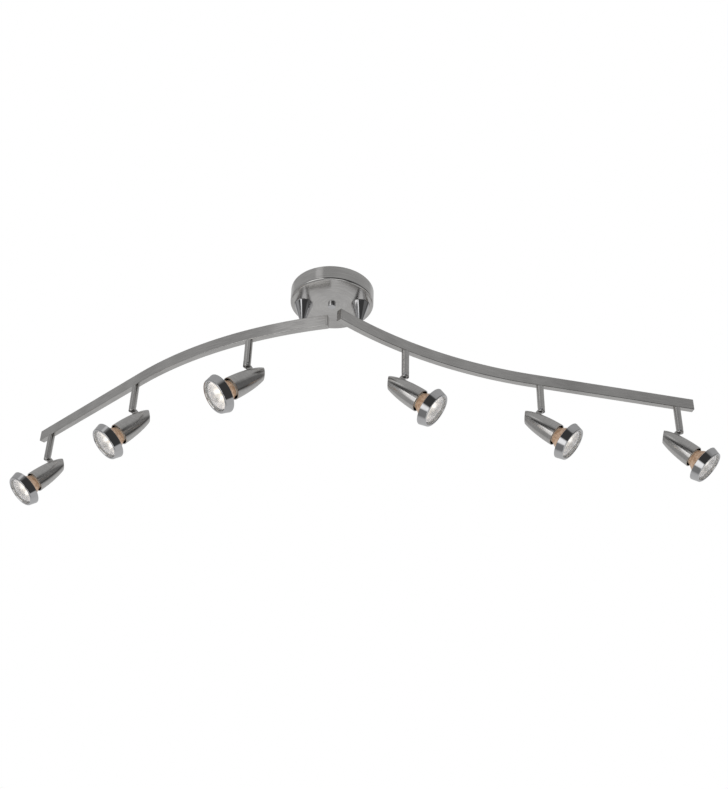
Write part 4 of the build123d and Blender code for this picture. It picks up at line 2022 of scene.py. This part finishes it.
    def build_bezel(self) -> bpy.types.Object:
        """Builds the tapered ring with its rolled edges and its grip behind the lip.

        Returns:
            The ring.
        """
        lip_back = self.lamp_face + self.gap
        grip_back = lip_back - self.bezel_grip
        grip = self.lamp_radius + self.gap
        slope = (self.bezel_back_radius - self.bezel_front_radius) / (self.bezel_front - self.bezel_back)
        inner = self.bezel_back_radius - self.bezel_wall
        inner_front = inner - slope * (grip_back - self.bezel_back)
        outline = rounded(
            [
                (self.bezel_back, self.bezel_back_radius, self.bezel_back_round),
                (self.bezel_front, self.bezel_front_radius, self.bezel_front_round),
                (self.bezel_front, self.bezel_lip + self.bezel_roll, self.bezel_roll),
                (lip_back + self.bezel_lip_rise, self.bezel_lip, self.bezel_lip_round),
                (lip_back, self.bezel_lip, 0),
                (lip_back, grip, 0),
                (grip_back, grip, self.bezel_grip_round),
                (grip_back, inner_front, self.bezel_step_round),
                (self.bezel_back, inner, self.bezel_inner_round),
            ],
            steps=5,
        )
        bezel = smoothed(lathe(f"{self.head}_ring", outline, self.place, segments=144), angle=50)
        return dressed(bezel, [CHROME], self.body, [f"{self.head}_bezel"])

    def build(self) -> None:
        """Builds the head, and dresses its lamp holder."""
        self.build_shell()
        self.build_lamp()
        self.build_mirror()
        self.build_capsule()
        self.build_lens()
        self.build_bezel()
        dress_node(f"{self.head}_lamp_holder", CERAMIC)


# ---------------------------------------------------------------- studio


@dataclass(frozen=True)
class SoftLight:
    """One soft patch of light around the fixture.

    It is at full strength up to reach degrees from its direction, and fades over the next edge degrees.
    """

    towards: tuple[float, float, float]
    reach: float
    edge: float
    strength: float


@dataclass
class Studio:
    """The pale floor, the soft light and the camera."""

    floor_height: float = -2.4
    floor_size: float = 90.0
    floor_thickness: float = 0.02
    dim: float = 0.05
    camera_place: tuple[float, float, float] = (0.0957, -1.5077, -1.1724)
    camera_rise: float = 33.02
    camera_turn: float = -1.575
    camera_roll: float = 1.615
    lens: float = 59.64
    sensor_width: float = 36.0
    lights: tuple[SoftLight, ...] = (
        SoftLight((0.0, 0.1, 1.0), 54, 28, 0.40),
        SoftLight((0.0, 1.0, -0.1), 50, 38, 0.54),
        SoftLight((-1.0, -0.1, -0.25), 20, 25, 0.36),
        SoftLight((-0.65, -0.65, -0.40), 19, 9, 1.15),
        SoftLight((-0.76, -0.65, -0.04), 3, 4, 1.7),
        SoftLight((-0.45, -0.89, 0.02), 3, 8, 1.0),
        SoftLight((-0.47, -0.65, 0.60), 5, 9, 0.62),
        SoftLight((0.37, -0.71, 0.60), 8, 10, 0.36),
        SoftLight((0.66, -0.60, 0.45), 5, 10, 0.26),
        SoftLight((0.93, -0.35, 0.12), 18, 14, 0.15),
        SoftLight((0.10, -0.40, -0.91), 16, 10, 0.90),
        SoftLight((0.65, 0.35, -0.68), 24, 12, 0.50),
        SoftLight((-0.3, 0.0, -1.0), 35, 20, 0.22),
    )

    def build_floor(self) -> None:
        """Builds the pale floor well below the fixture."""
        half = self.floor_size / 2
        outline = [(-half, -half), (half, -half), (half, half), (-half, half)]
        place = Matrix.Translation((0, 0, self.floor_height))
        floor = prism("floor", outline, -self.floor_thickness, 0, place)
        floor.data.materials.append(PAPER.material())
        floor.visible_glossy = False

    def build_light(self) -> None:
        """Builds a white surround with soft patches of light for the metal to mirror."""
        world = bpy.data.worlds.new("studio")
        bpy.context.scene.world = world
        world.use_nodes = True
        wiring = Wiring(world.node_tree)
        towards = wiring.node("ShaderNodeTexCoord").outputs["Generated"]
        total: bpy.types.NodeSocket | float = self.dim
        for light in self.lights:
            axis = Vector(light.towards).normalized()
            dot = wiring.node("ShaderNodeVectorMath", {0: towards, 1: axis}, operation="DOT_PRODUCT")
            outer, inner = cos(radians(light.reach + light.edge)), cos(radians(light.reach))
            patch = wiring.ramp(dot.outputs["Value"], outer, inner, to_high=light.strength)
            total = wiring.math("MAXIMUM", total, patch)
        seen = wiring.node("ShaderNodeLightPath").outputs["Is Camera Ray"]
        strength = wiring.math("MAXIMUM", total, seen)
        glow = wiring.node("ShaderNodeBackground", {"Color": (1, 1, 1, 1), "Strength": strength})
        wiring.node("ShaderNodeOutputWorld", {"Surface": glow.outputs[0]})
        bpy.context.scene.view_settings.view_transform = "Standard"

    def build_camera(self) -> None:
        """Builds the camera, which looks up at the fixture from in front."""
        rise, turn, roll = (radians(v) for v in (self.camera_rise, self.camera_turn, self.camera_roll))
        ahead = Vector((sin(turn) * cos(rise), cos(turn) * cos(rise), sin(rise)))
        right = Vector((cos(turn), -sin(turn), 0))
        up = right.cross(ahead)
        tilted_right = right * cos(roll) + up * sin(roll)
        tilted_up = up * cos(roll) - right * sin(roll)
        camera = bpy.data.objects.new("camera", bpy.data.cameras.new("camera"))
        bpy.context.scene.collection.objects.link(camera)
        camera.data.sensor_fit = "HORIZONTAL"
        camera.data.sensor_width = self.sensor_width
        camera.data.lens = self.lens
        columns = Matrix((tilted_right, tilted_up, -ahead)).transposed()
        camera.matrix_world = Matrix.Translation(self.camera_place) @ columns.to_4x4()
        bpy.context.scene.camera = camera

    def build(self) -> None:
        """Builds the whole studio."""
        self.build_floor()
        self.build_light()
        self.build_camera()


def main() -> None:
    """Builds the fixture and its studio."""
    logging.basicConfig(level=logging.INFO, format="%(message)s")
    Studio().build()
    CeilingMount().build()
    for side in Side:
        Arm(side).build()
    for head in HEADS:
        Stem(head).build()
        SpotHead(head).build()


if __name__ == "__main__":
    main()
